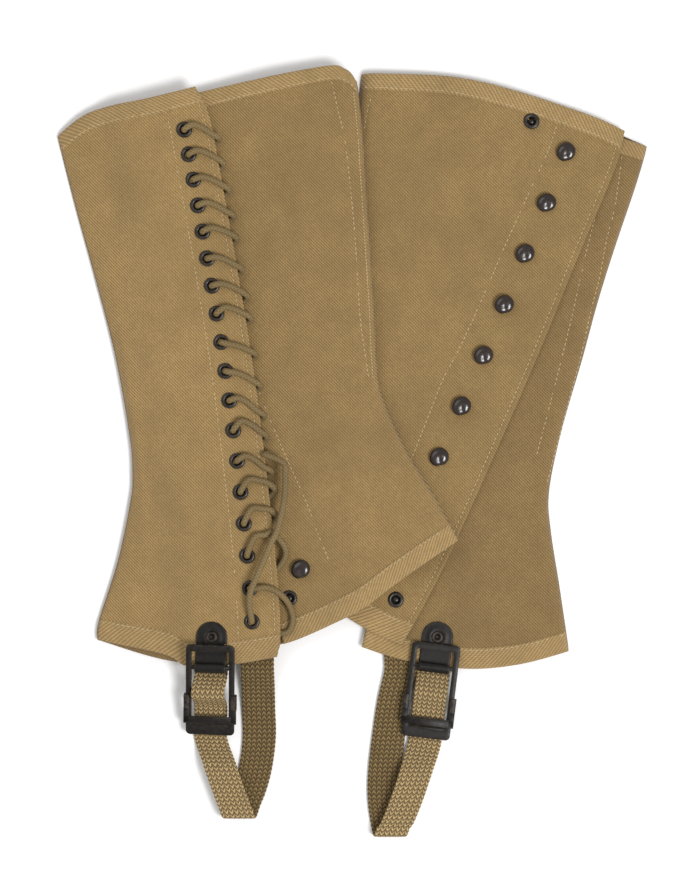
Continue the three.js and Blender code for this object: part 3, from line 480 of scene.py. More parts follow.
class EffectLibrary:
    """Builds each shared effect once."""

    def group(self, effect: Effect, inputs: dict[str, float | None], outputs: Sequence[str]) -> Graph:
        """A new node group.

        Args:
            effect: Which effect it is.
            inputs: Each number input with its usual value, None for a vector.
            outputs: The names of its number outputs.

        Returns:
            A graph on the group's tree, with its input and output nodes named so.
        """
        tree = bpy.data.node_groups.new(effect.value, "ShaderNodeTree")
        for name, value in inputs.items():
            kind = "NodeSocketVector" if value is None else "NodeSocketFloat"
            socket = tree.interface.new_socket(name, in_out="INPUT", socket_type=kind)
            if value is not None:
                socket.default_value = value
        for name in outputs:
            tree.interface.new_socket(name, in_out="OUTPUT", socket_type="NodeSocketFloat")
        graph = Graph(tree)
        graph.given = graph.node("NodeGroupInput").outputs
        graph.result = graph.node("NodeGroupOutput").inputs
        return graph

    def build_twill(self) -> None:
        """Diagonal ribs down to the right, broken where each yarn dives under the next."""
        g = self.group(Effect.TWILL, {"Place": None, "Pitch": 0.001}, ["Height", "Shade"])
        x, y = g.parts(g.given["Place"])
        drift = g.math("MULTIPLY", g.noise(g.given["Place"], 160.0), 0.0009)
        diagonal = g.math("MULTIPLY", g.math("ADD", g.math("ADD", x, y), drift), 0.7071)
        rib = g.wave(g.math("DIVIDE", diagonal, g.given["Pitch"]))
        yarn = g.wave(g.math("DIVIDE", x, g.math("MULTIPLY", g.given["Pitch"], 0.72)))
        body = g.math("MULTIPLY_ADD", yarn, 0.3, g.math("MULTIPLY", rib, 0.7))
        slub = g.noise(g.given["Place"], 2600.0, 2.0)
        g.feed(g.result["Height"], g.math("MULTIPLY_ADD", slub, 0.35, g.math("MULTIPLY", body, 0.8)))
        g.feed(g.result["Shade"], g.math("MULTIPLY_ADD", g.math("SUBTRACT", slub, 0.5), 0.9, body))

    def build_webbing(self) -> None:
        """Columns of V stitches with deep gaps between the columns."""
        g = self.group(Effect.WEBBING, {"Place": None, "Column": 0.0029, "Pitch": 0.0026}, ["Height", "Gap"])
        x, y = g.parts(g.given["Place"])
        wobble = g.math("MULTIPLY", g.math("SUBTRACT", g.noise(g.given["Place"], 500.0, 2.0), 0.5), 0.5)
        across = g.math("ADD", g.math("DIVIDE", x, g.given["Column"]), 0.5)
        tooth = g.math("PINGPONG", across, 0.5)
        along = g.math("ADD", g.math("DIVIDE", y, g.given["Pitch"]), wobble)
        v = g.wave(g.math("ADD", along, g.math("MULTIPLY", tooth, 1.5)))
        column = g.spread(tooth, 0.0, 0.16, (0.05, 1.0))
        yarn = g.math("MULTIPLY", g.spread(v, 0.12, 0.75), column)
        g.feed(g.result["Height"], yarn)
        g.feed(g.result["Gap"], g.math("SUBTRACT", 1.0, yarn))

    def build_braid(self) -> None:
        """Strands that cross each other round a cord; x goes round it and y along it."""
        g = self.group(Effect.BRAID, {"Place": None, "Pitch": 0.0042}, ["Height", "Gap"])
        x, y = g.parts(g.given["Place"])
        along = g.math("DIVIDE", y, g.given["Pitch"])
        round_it = g.math("MULTIPLY", x, 4.0)
        one = g.wave(g.math("ADD", round_it, g.math("MULTIPLY", along, 2.0)))
        two = g.wave(g.math("SUBTRACT", round_it, g.math("MULTIPLY", along, 2.0)))
        height = g.math("MAXIMUM", one, two)
        g.feed(g.result["Height"], height)
        g.feed(g.result["Gap"], g.math("POWER", g.math("SUBTRACT", 1.0, height), 0.8))

    def build_mottle(self) -> None:
        """Soft patches of two sizes, with faint dirt."""
        g = self.group(Effect.MOTTLE, {"Place": None}, ["Patch", "Fleck"])
        broad, small = g.noise(g.given["Place"], 14.0, 4.0), g.noise(g.given["Place"], 70.0, 4.0)
        both = g.math("MULTIPLY_ADD", small, 0.45, g.math("MULTIPLY", broad, 0.55))
        g.feed(g.result["Patch"], g.spread(both, 0.33, 0.67))
        g.feed(g.result["Fleck"], g.spread(g.noise(g.given["Place"], 520.0, 3.0), 0.35, 0.7))

    def build_wear(self) -> None:
        """Rubbed edges: the mesh's wear attribute, broken up by noise."""
        g = self.group(Effect.WEAR, {"Place": None, "Amount": 0.6}, ["Mask"])
        edge = g.node("ShaderNodeAttribute", attribute_name="wear").outputs["Fac"]
        rub = g.spread(g.noise(g.given["Place"], 420.0, 4.0), 0.38, 0.62)
        g.feed(g.result["Mask"], g.math("MULTIPLY", g.math("MULTIPLY", edge, rub), g.given["Amount"]))

    def build(self) -> None:
        """Builds every effect."""
        self.build_twill()
        self.build_webbing()
        self.build_braid()
        self.build_mottle()
        self.build_wear()


Colour = tuple[float, float, float]


def opaque(colour: Colour, share: float = 1.0) -> tuple[float, float, float, float]:
    """A colour scaled by a share, with full alpha."""
    return (colour[0] * share, colour[1] * share, colour[2] * share, 1.0)


@dataclass(frozen=True)
class Finish:
    """A finish by name; make() gives its material, built once."""

    name: str
    colour: Colour

    def start(self) -> tuple[bpy.types.Material, Graph, bpy.types.Node, object, object]:
        """A new material with its shader.

        Returns:
            The material, its graph, the Principled node, the UV place and the object place.
        """
        material = bpy.data.materials.new(self.name)
        material.use_nodes = True
        graph = Graph(material.node_tree)
        shader = material.node_tree.nodes["Principled BSDF"]
        uv = graph.node("ShaderNodeUVMap", uv_map="flat").outputs[0]
        place = graph.node("ShaderNodeTexCoord").outputs["Object"]
        return material, graph, shader, uv, place

    def relief(
        self, graph: Graph, shader: bpy.types.Node, height: object, depth: float, strength: float
    ) -> None:
        """Feeds a height into the shader's normal as a bump.

        Args:
            graph: The material's graph.
            shader: Its Principled node.
            height: The height, from 0 to 1.
            depth: The bump's depth in metres.
            strength: How strongly it shows, from 0 to 1.
        """
        bump = graph.node("ShaderNodeBump")
        bump.inputs["Strength"].default_value = strength
        bump.inputs["Distance"].default_value = depth
        graph.feed(bump.inputs["Height"], height)
        graph.feed(shader.inputs["Normal"], bump.outputs[0])

    def build(self) -> bpy.types.Material:
        """Builds the material; each kind of finish has its own."""
        raise NotImplementedError

    def make(self) -> bpy.types.Material:
        """The material, built the first time."""
        return bpy.data.materials.get(self.name) or self.build()


@dataclass(frozen=True)
class Canvas(Finish):
    """Cotton canvas in a fine twill, washed soft."""

    pitch: float = 0.0013
    contrast: float = 0.82

    def build(self) -> bpy.types.Material:
        """Twill ribs, slubs, soft patches that are partly painted shade of wrinkles, and a dusty sheen."""
        material, g, shader, uv, place = self.start()
        twill = g.place(Effect.TWILL.value, Place=uv, Pitch=self.pitch)
        mottle = g.place(Effect.MOTTLE.value, Place=place)
        # The wide spread of the patches is partly blotchy colour and partly painted shade of soft folds and
        # wrinkles.
        base = g.mix(mottle.outputs["Patch"], opaque(self.colour, 0.99), opaque(self.colour, 1.43))
        base = g.mix(g.math("MULTIPLY", mottle.outputs["Fleck"], 0.42), base, opaque(self.colour, 0.68))
        yarn = g.spread(twill.outputs["Shade"], 0.1, 0.9)
        shade = g.math("MULTIPLY", g.math("SUBTRACT", 1.0, yarn), self.contrast)
        base = g.mix(shade, base, opaque(self.colour, 0.42))
        g.feed(shader.inputs["Base Color"], base)
        g.feed(shader.inputs["Roughness"], g.spread(twill.outputs["Height"], 0.0, 1.0, (0.98, 0.84)))
        shader.inputs["Sheen Weight"].default_value = 0.12
        shader.inputs["Sheen Roughness"].default_value = 0.6
        shader.inputs["Specular IOR Level"].default_value = 0.25
        self.relief(g, shader, twill.outputs["Height"], 0.00032, 0.8)
        return material


@dataclass(frozen=True)
class Webbing(Finish):
    """Cotton webbing or tape, woven in columns of V stitches."""

    column: float = 0.0029
    pitch: float = 0.0026
    contrast: float = 0.75
    depth: float = 0.0005

    def build(self) -> bpy.types.Material:
        """V stitches with dark gaps and patchy fading."""
        material, g, shader, uv, place = self.start()
        weave = g.place(Effect.WEBBING.value, Place=uv, Column=self.column, Pitch=self.pitch)
        mottle = g.place(Effect.MOTTLE.value, Place=place)
        base = g.mix(mottle.outputs["Patch"], opaque(self.colour, 0.86), opaque(self.colour, 1.14))
        gap = g.math("MULTIPLY", weave.outputs["Gap"], self.contrast)
        base = g.mix(gap, base, opaque(self.colour, 0.24))
        g.feed(shader.inputs["Base Color"], base)
        g.feed(shader.inputs["Roughness"], g.spread(weave.outputs["Height"], 0.0, 1.0, (0.98, 0.8)))
        shader.inputs["Specular IOR Level"].default_value = 0.25
        self.relief(g, shader, weave.outputs["Height"], self.depth, 0.9)
        return material


@dataclass(frozen=True)
class LaceCord(Finish):
    """A braided cotton lace."""

    def build(self) -> bpy.types.Material:
        """Crossing strands with shaded gaps."""
        material, g, shader, uv, place = self.start()
        braid = g.place(Effect.BRAID.value, Place=uv)
        mottle = g.place(Effect.MOTTLE.value, Place=place)
        base = g.mix(mottle.outputs["Patch"], opaque(self.colour, 0.85), opaque(self.colour, 1.15))
        base = g.mix(g.math("MULTIPLY", braid.outputs["Gap"], 0.62), base, opaque(self.colour, 0.4))
        g.feed(shader.inputs["Base Color"], base)
        g.feed(shader.inputs["Roughness"], g.spread(braid.outputs["Height"], 0.0, 1.0, (0.95, 0.72)))
        self.relief(g, shader, braid.outputs["Height"], 0.0003, 0.6)
        return material


@dataclass(frozen=True)
class Thread(Finish):
    """Sewing thread with a slight gleam."""

    def build(self) -> bpy.types.Material:
        """Twisted plies, shaded by noise."""
        material, g, shader, _, place = self.start()
        ply = g.noise(place, 3000.0, 2.0)
        lit = g.spread(ply, 0.3, 0.7)
        g.feed(shader.inputs["Base Color"], g.mix(lit, opaque(self.colour, 0.75), opaque(self.colour, 1.15)))
        g.feed(shader.inputs["Roughness"], g.spread(ply, 0.3, 0.7, (0.75, 0.55)))
        return material


@dataclass(frozen=True)
class Blackened(Finish):
    """Blackened metal, rubbed to a brown grey along its edges."""

    roughness: float = 0.34
    rubbed: Colour = (0.105, 0.080, 0.058)
    amount: float = 0.6
    gloss: float = 0.22

    def build(self) -> bpy.types.Material:
        """Black oxide with scuffs and bare edges."""
        material, g, shader, _, place = self.start()
        mottle = g.place(Effect.MOTTLE.value, Place=place)
        mask = g.place(Effect.WEAR.value, Place=place, Amount=self.amount).outputs["Mask"]
        base = g.mix(mottle.outputs["Fleck"], opaque(self.colour, 0.75), opaque(self.colour, 1.5))
        g.feed(shader.inputs["Base Color"], g.mix(mask, base, opaque(self.rubbed)))
        rough = g.spread(mottle.outputs["Fleck"], 0.0, 1.0, (self.roughness, self.roughness * 1.4))
        g.feed(shader.inputs["Roughness"], g.math("MULTIPLY_ADD", mask, 0.15, rough))
        g.feed(shader.inputs["Metallic"], g.math("MULTIPLY", mask, 0.6))
        shader.inputs["Specular IOR Level"].default_value = self.gloss
        self.relief(g, shader, g.noise(place, 1500.0, 3.0), 0.00008, 0.4)
        return material


@dataclass(frozen=True)
class Paper(Finish):
    """The matt backdrop that the pair lies on."""

    def build(self) -> bpy.types.Material:
        """Plain white paper with a trace of tooth."""
        material, g, shader, _, place = self.start()
        base = g.mix(g.noise(place, 300.0), opaque(self.colour, 0.99), opaque(self.colour))
        g.feed(shader.inputs["Base Color"], base)
        shader.inputs["Roughness"].default_value = 0.9
        shader.inputs["Specular IOR Level"].default_value = 0.1
        return material


CANVAS = Canvas("khaki_canvas", (0.352, 0.227, 0.088))
CANVAS_FRONT = Canvas("khaki_canvas_front", (0.303, 0.195, 0.075))
# A darker copy of the canvas: painted shade for the left gaiter's eyelet side.
CANVAS_SHADED = Canvas("khaki_canvas_painted_shade", (0.250, 0.160, 0.062))
CANVAS_INNER = Canvas("khaki_canvas_inner", (0.230, 0.147, 0.060))
TAPE = Canvas("binding_tape", (0.362, 0.240, 0.101), pitch=0.00175, contrast=0.72)
STRAP_WEB = Webbing("strap_webbing", (0.480, 0.340, 0.162), contrast=0.95)
# A darker copy of the strap webbing: painted shade for the back leg, whose inner face lies in the loop's
# shadow.
STRAP_PAINTED_SHADE = Webbing("strap_webbing_painted_shade", (0.242, 0.163, 0.068), contrast=0.92)
LACE = LaceCord("braided_lace", (0.203, 0.139, 0.055))
THREAD = Thread("sewing_thread", (0.520, 0.400, 0.225))
METAL = Blackened("blackened_brass", (0.0075, 0.0060, 0.0050), roughness=0.36, gloss=0.24)
HOOK_METAL = Blackened("lacquered_hooks", (0.014, 0.0078, 0.0062), roughness=0.15, amount=0.1, gloss=0.62)
EYELET_METAL = Blackened("eyelet_metal", (0.012, 0.0095, 0.0085), roughness=0.24, amount=0.35, gloss=0.4)


# ---------------------------------------------------------------- placing pieces
@dataclass(frozen=True)
class Placing:
    """A turn and a move, as a 4 by 4 matrix, in millimetres."""

    matrix: Array

    @classmethod
    def of(cls, move: Sequence[float] = (0, 0, 0), axis: str = "z", degrees: float = 0.0) -> "Placing":
        """A turn about one axis, then a move."""
        c, s = math.cos(math.radians(degrees)), math.sin(math.radians(degrees))
        m = np.eye(4)
        i, j = {"x": (1, 2), "y": (2, 0), "z": (0, 1)}[axis]
        m[i, i], m[i, j], m[j, i], m[j, j] = c, -s, s, c
        m[:3, 3] = move
        return cls(m)

    def then(self, inner: "Placing") -> "Placing":
        """This placing of something that is placed by the inner one."""
        return Placing(self.matrix @ inner.matrix)

    def point(self, points: Array) -> Array:
        """The placed points."""
        return np.asarray(points, float) @ self.matrix[:3, :3].T + self.matrix[:3, 3]

    def back(self, points: Array) -> Array:
        """The points whose placed places are these."""
        return (np.asarray(points, float) - self.matrix[:3, 3]) @ self.matrix[:3, :3]

    def direction(self, vector: Sequence[float]) -> Array:
        """A turned direction."""
        return self.matrix[:3, :3] @ np.asarray(vector, float)


def centre(node: str) -> Array:
    """The middle of a CAD node's box, in millimetres."""
    low, high = (np.array(corner, float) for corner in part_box(node))
    return (low + high) / 2 / MM


def make_piece(name: str, surface: Surface, finish: Finish, placing: Placing) -> bpy.types.Object:
    """Makes a finished object of a surface.

    Args:
        name: The piece's name.
        surface: Its mesh, in millimetres in its own group's frame.
        finish: Its finish.
        placing: Where the group's frame is.

    Returns:
        The object, at the origin, with its place in its mesh.
    """
    mesh = bpy.data.meshes.new(name)
    points = placing.point(surface.points) * MM
    mesh.from_pydata(points.tolist(), [], surface.quads.tolist() + surface.tris.tolist())
    layer = mesh.uv_layers.new(name="flat")
    layer.data.foreach_set("uv", surface.uv.astype(np.float32).ravel())
    wear = np.zeros(len(points)) if surface.wear is None else surface.wear
    mesh.attributes.new("wear", "FLOAT", "POINT").data.foreach_set("value", wear.astype(np.float32))
    work = bmesh.new()
    work.from_mesh(mesh)
    bmesh.ops.recalc_face_normals(work, faces=work.faces)
    work.to_mesh(mesh)
    work.free()
    mesh.polygons.foreach_set("use_smooth", np.ones(len(mesh.polygons), bool))
    mesh.materials.append(finish.make())
    piece = bpy.data.objects.new(name, mesh)
    bpy.context.collection.objects.link(piece)
    log.info("%s: %d faces", name, len(mesh.polygons))
    return piece


# ---------------------------------------------------------------- sewn cloth
@dataclass(frozen=True)
class Bend:
    """The joint that a piece of cloth crosses, and where, in millimetres in the gaiter's frame."""

    near: str
    far: str
    middle: tuple[float, float, float]
    across: tuple[float, float, float]
    half: float = 3.0

    def apply(self, piece: bpy.types.Object, placing: Placing) -> None:
        """Bakes the piece's placing into its mesh; the piece is not made to bend."""
        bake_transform(piece)


@dataclass
class Panel:
    """One panel of canvas with its hems, seams and folded sides, in millimetres."""

    name: str
    patch: Patch
    level: Height
    nodes: tuple[str, ...]
    body: str
    placing: Placing
    finish: Finish = CANVAS
    bend: Bend | None = None
    folds: tuple[Line, ...] = ()
    fold_radius: float = 6.0
    hems: tuple[Line, ...] = ()
    seams: tuple[Line, ...] = ()
    wave: float = 0.3
    thickness: float = 1.0
    step: float = 2.0
    fold_level: float = 0.9
    rows: tuple[float, float] = (0.0, 1.0)
    quiet: tuple[Line, ...] = ()
    pits: tuple[tuple[float, float], ...] = ()
    pit_depth: float = 1.7
    pit_radius: float = 3.3
    rim: float = 7.0

    def top(self, places: Array) -> Array:
        """The height of the upper face over places of the flat cloth.

        It is the panel's level with slow sine waves and a sunk, puckered groove along each seam. Hems
        stand up by their doubled cloth. Towards a folded side it falls along a quarter ellipse, and it
        is pressed down where an eyelet goes through.

        Args:
            places: Points of the flat cloth.

        Returns:
            The heights.
        """
        x, y = places[..., 0], places[..., 1]
        z = self.level(places)
        slow = 0.9 * np.sin(x / 14 + y / 21 + 1.3) * np.sin(y / 31 - x / 40 + 0.4)
        slow = slow + 0.5 * np.sin(x / 11 - y / 15 + 2.0)
        slow = slow + 0.22 * np.sin(x / 6.5 + y / 8.5 + 0.7 + np.sin(y / 17))
        calm = np.ones_like(z)
        for line in self.quiet:
            near, _ = line.nearest(places)
            calm = calm * smooth_step((near - 9) / 16)
        for hem in self.hems:
            near, _ = hem.nearest(places)
            z = z + 0.35 * (1 - smooth_step((near - 2.6) / 1.2))
            calm = calm * smooth_step(near / 12)
        for seam in self.seams:
            near, along = seam.nearest(places)
            z = z - 0.42 * np.exp(-((near / 1.5) ** 2))
            z = z + 0.14 * np.sin(along / 1.25 + np.sin(along / 9)) * np.exp(-((near - 3) / 3.2) ** 2)
        z = z + self.wave * slow * calm
        for fold in self.folds:
            near, _ = fold.nearest(places)
            rise = np.sqrt(1 - (1 - np.clip(near / self.fold_radius, 0, 1)) ** 2)
            z = self.fold_level + (z - self.fold_level) * rise
        for x0, y0 in self.pits:
            z = z - self.pit_depth * (np.hypot(x - x0, y - y0) < self.pit_radius)
        return z

    def surface(self) -> Surface:
        """The panel as a closed sheet."""
        wide = float(np.linalg.norm(self.patch.top.at(np.array(1.0)) - self.patch.top.at(np.array(0.0))))
        tall = self.patch.left.arc()[-1]
        close = np.linspace(0, self.rim / wide, 8)
        columns = np.linspace(0, 1, max(8, round(wide / self.step)))
        columns = np.unique(np.concatenate([columns, close, 1 - close]))
        rows = np.linspace(*self.rows, max(8, round(tall / self.step)))
        t, s = np.meshgrid(rows, columns, indexing="ij")
        flat = self.patch.at(s, t)
        top = np.concatenate([flat, self.top(flat)[..., None]], -1)
        return shell(top, flat * MM, self.thickness)

    def build(self, with_pieces: Sequence[bpy.types.Object] = ()) -> bpy.types.Object:
        """Args:
            with_pieces: The tapes and stitching sewn on it; not used.

        Returns:
            The panel's object.
        """
        piece = self.attach(make_piece(self.name, self.surface(), self.finish, self.placing))
        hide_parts(*self.nodes)
        width, length, area = self.patch.cut()
        area = min(area, 0.999 * width * length)
        return piece

    def attach(self, piece: bpy.types.Object) -> bpy.types.Object:
        """Makes a piece move as the panel's body does: the panel itself, or one sewn on it. Where the panel
        crosses a bend, the piece's placing is only baked into its mesh.
        """
        if self.bend:
            self.bend.apply(piece, self.placing)
        else:
            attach(piece, self.body)
        return piece


@dataclass(frozen=True)
class Binding:
    """A tape folded over a panel's end: a flat U section carried along the end."""

    name: str
    panel: Panel
    bottom: bool
    width: float
    nodes: tuple[str, ...]
    span: tuple[float, float] = (0.0, 1.0)

    def place(self, s: Array, inwards: Array) -> Array:
        """The flat cloth at shares s of the end, and this far in from it."""
        patch = self.panel.patch
        tall = patch.left.arc()[-1]
        start = 1.0 if self.bottom else 0.0
        sign = -1.0 if self.bottom else 1.0
        inside = patch.at(s, start + sign * np.clip(inwards, 0, None) / tall)
        edge = patch.at(s, np.full_like(s, start))
        lean = (patch.at(s, np.full_like(s, start + sign * 4 / tall)) - edge) / 4
        return inside + lean * np.clip(inwards, None, 0)[..., None]

    def build(self) -> bpy.types.Object:
        """Makes the tape."""
        w, over, under = self.width, 0.5, -1.25
        section = np.array([
            (w, -0.1), (w - 0.12, over * 0.7), (w - 0.5, over), (w * 0.66, over + 0.05),
            (w * 0.33, over + 0.02), (1.0, over), (0.25, over * 0.5), (-0.25, -0.1), (-0.35, -0.5),
            (-0.2, under + 0.3), (0.4, under), (w * 0.5, under), (w - 0.5, under), (w, -0.8)])
        length = self.panel.patch.bottom.arc()[-1] if self.bottom else self.panel.patch.top.arc()[-1]
        shares = np.linspace(*self.span, max(12, round(length / 1.6)))
        s, inwards = np.meshgrid(shares, section[:, 0], indexing="ij")
        flat = self.place(s, inwards)
        held = self.panel.top(self.place(s, np.clip(inwards, 0, None)))
        rings = np.concatenate([flat, (held + section[None, :, 1])[..., None]], -1)
        run = np.append(runs(section), 2 * w + 2)
        uv = np.stack(np.broadcast_arrays(run[None] * MM, shares[:, None] * length * MM), -1)
        piece = self.panel.attach(make_piece(self.name, loft(rings, uv), TAPE, self.panel.placing))
        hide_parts(*self.nodes)
        return piece

    def stitching(self) -> bpy.types.Object:
        """The row of stitches along the tape's inner side."""
        shares = np.linspace(self.span[0] + 0.01, self.span[1] - 0.01, 90)
        line = Line(self.place(shares, np.full(90, self.width - 1.4)))
        return Stitching(self.name + "_stitching", line, self.panel, lift=0.62).build()


@dataclass(frozen=True)
class Stitching:
    """A row of lockstitches: short round-ended dashes, each a small spindle sunk unevenly in the cloth."""

    name: str
    line: Line
    panel: Panel
    lift: float = 0.16
    pitch: float = 2.9
    dash: float = 1.7
    radius: float = 0.3
    uneven: float = 0.34

    def build(self) -> bpy.types.Object:
        """Makes the row."""
        arc = self.line.arc()[-1]
        count = max(2, int(arc / self.pitch))
        share = (np.arange(count) + 0.5) / count
        ends = [self.line.at(share + sign * self.dash / 2 / arc) for sign in (-1, 1)]
        ends = [np.concatenate([e, (self.panel.top(e) + self.lift)[:, None]], 1) for e in ends]
        middle, run = (ends[0] + ends[1]) / 2, ends[1] - ends[0]
        middle[:, 2] -= self.uneven * np.abs(np.sin(np.arange(count) * 12.9898) * 43758.5453 % 1) ** 1.5
        along = unit(run)
        side = unit(np.cross([0.0, 0.0, 1.0], along))
        up = np.cross(along, side)
        where = np.array([-0.5, -0.36, 0.0, 0.36, 0.5]) * self.dash
        girth = np.array([0.25, 0.85, 1.0, 0.85, 0.25]) * self.radius
        angle = np.linspace(0, 2 * math.pi, 6, endpoint=False)
        rings = (
            middle[:, None, None] + where[None, :, None, None] * along[:, None, None]
            + (girth[:, None] * np.cos(angle))[None, ..., None] * side[:, None, None]
            + (girth[:, None] * np.sin(angle) * 0.7)[None, ..., None] * up[:, None, None]
        )
        quads, _ = grid_quads(5, 6, True)
        caps = np.array([[0, 5, 4, 3], [0, 3, 2, 1], [24, 25, 26, 27], [24, 27, 28, 29]])
        faces = np.vstack([quads, caps])
        every = (faces[None] + 30 * np.arange(count)[:, None, None]).reshape(-1, 4)
        uv = np.tile(np.zeros(2), (4 * len(every), 1))
        surface = Surface(rings.reshape(-1, 3), every, np.zeros((0, 3), int), uv)
        piece = make_piece(self.name, surface, THREAD, self.panel.placing)
        return self.panel.attach(piece)


# ---------------------------------------------------------------- small metal pieces
@dataclass(frozen=True)
class Eyelet:
    """A rolled eyelet: a round flange above the cloth, a barrel with a dark disc in it that paints the shade
    of the hole, and a foot.
    """

    node: str
    body: str
    placing: Placing
    cloth_top: float
    depth: float
    clinched: bool
    bore: float = 2.4
    flange: float = 4.5

    def build(self) -> bpy.types.Object:
        """Makes the eyelet where its CAD node is."""
        x, y = self.placing.back(centre(self.node))[:2]
        b, f, wall = self.bore, self.flange, 0.55
        foot = -self.depth - (0.65 if self.clinched else 0.0)
        lip = b + (1.5 if self.clinched else wall)
        section = [(b + wall, -0.1), (f - 0.1, 0.12), (f + 0.05, 0.4), (f - 0.15, 0.8), (f - 0.7, 1.12),
                   (b + 0.75, 1.15), (b + 0.25, 0.9), (b, 0.3), (b, foot + 0.3), (b + 0.15, foot),
                   (lip, foot), (lip, foot + 0.35), (b + wall, foot + 0.4)]
        surface = ring_lathe(section)
        surface.wear = np.tile(np.array([0, 0, 0.5, 1, 0.6, 0.9, 1, 0.3, 0, 0, 0, 0, 0], float), 32)
        # A dark disc down in the barrel: painted shade where the hole through the cloth would look dark.
        shade = lathe([(0.02, -1.5), (b + 0.4, -1.5), (b + 0.4, -1.2), (0.02, -1.2)], 20)
        surface = Surface.joined([surface, shade])
        surface.points = surface.points + [x, y, self.cloth_top]
        piece = make_piece(self.node + "_ring", surface, EYELET_METAL, self.placing)
        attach(piece, self.body)
        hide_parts(self.node)
        return piece


@dataclass(frozen=True)
class Hook:
    """A lacing hook: a curled button of two lobes on a neck, with its foot plate on the cloth."""

    node: str
    body: str
    placing: Placing
    cloth_top: float
    depth: float
    radius: float = 5.5
    height: float = 4.6
    lean: float = 50.0
    notch: float = -80.0

    def lobes(self, angle: Array) -> Array:
        """The button's outline: two cosine lobes, less a bell-shaped notch."""
        out, notch = angle - math.radians(self.lean), math.radians(self.notch)
        cut = np.exp(-((np.angle(np.exp(1j * (angle - notch))) / 0.35) ** 2))
        return 0.05 * np.cos(2 * out) + 0.03 * np.cos(out) - 0.13 * cut

    def build(self) -> bpy.types.Object:
        """Makes the hook where its CAD node is.

        The button is a dome whose radius swells towards two lobes, with a notch between them.
        """
        x, y = self.placing.back(centre(self.node))[:2]
        r, h, notch = self.radius, self.height, math.radians(self.notch)
        profile = [(0.02, 0.5), (r * 0.45, 0.5), (r * 0.52, 1.0), (r * 0.72, 1.3), (r * 0.93, 1.75), (r, 2.3),
                   (r * 0.98, 2.9), (r * 0.88, 3.6), (r * 0.7, 4.15), (r * 0.46, h - 0.12), (r * 0.2, h),
                   (0.02, h)]
        button = lathe(profile, 36, self.lobes)
        share = np.clip(button.points[:, 2] / h, 0, 1) ** 2
        apart = button.points[:, :2] - 1.6 * np.array([math.cos(notch), math.sin(notch)])
        dent = np.exp(-(apart**2).sum(1) / 5.0)
        button.points[:, 2] -= 0.55 * dent * share
        button.wear = 0.7 * share
        foot = lathe([(0.02, -self.depth), (1.4, -self.depth), (1.4, -0.1), (r * 0.84, 0.0), (r * 0.88, 0.3),
                      (r * 0.8, 0.55), (0.02, 0.6)], 28)
        surface = Surface.joined([button, foot])
        surface.points = surface.points + [x, y, self.cloth_top]
        piece = make_piece(self.node + "_button", surface, HOOK_METAL, self.placing)
        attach(piece, self.body)
        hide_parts(self.node)
        return piece


# ---------------------------------------------------------------- buckles and straps
def rounded_rectangle(
    x0: float, y0: float, x1: float, y1: float, radius: float, per_corner: int = 7
) -> Array:
    """The outline of a rectangle with round corners, anticlockwise from the lower left corner.

    Args:
        x0: Its left limit.
        y0: Its lower limit.
        x1: Its right limit.
        y1: Its upper limit.
        radius: The corners' radius.
        per_corner: Points on each corner.

    Returns:
        The points, each corner a quarter circle about its own middle.
    """
    angle = np.linspace(0, math.pi / 2, per_corner)
    turn = np.array([math.pi, 1.5 * math.pi, 0.0, 0.5 * math.pi])[:, None] + angle
    cx = np.array([x0 + radius, x1 - radius, x1 - radius, x0 + radius])[:, None]
    cy = np.array([y0 + radius, y0 + radius, y1 - radius, y1 - radius])[:, None]
    return np.stack([cx + radius * np.cos(turn), cy + radius * np.sin(turn)], -1).reshape(-1, 2)


def bar(start: Sequence[float], end: Sequence[float], wide: float, deep: float, ease: float = 0.3) -> Surface:
    """A straight flat bar: a rectangle with round corners carried from start to end.

    Args:
        start: The middle of one end.
        end: The middle of the other.
        wide: Its width, in the plane of X and Y.
        deep: Its depth along Z.
        ease: The radius of its long edges.

    Returns:
        The closed surface, rubbed along its edges.
    """
    a, b = np.asarray(start, float), np.asarray(end, float)
    along = (b - a) / np.linalg.norm(b - a)
    side = np.cross([0.0, 0.0, 1.0], along)
    outline = rounded_rectangle(-wide / 2, -deep / 2, wide / 2, deep / 2, ease, 4)
    reach = np.linalg.norm(b - a)
    shares = np.array([0.0, 0.15 / reach, 0.5, 1 - 0.15 / reach, 1.0])
    shrink = np.array([0.85, 1.0, 1.0, 1.0, 0.85])
    rings = (a + shares[:, None] * (b - a))[:, None] + shrink[:, None, None] * (
        outline[None, :, 0, None] * side + outline[None, :, 1, None] * np.array([0.0, 0.0, 1.0]))
    girth = np.linspace(0, 0.012, len(outline) + 1)
    uv = np.stack(np.broadcast_arrays(girth[None], shares[:, None] * reach * MM), -1)
    wear = np.tile([0.05, 0.8, 0.8, 0.05], 4)
    return loft(rings, uv, wear)


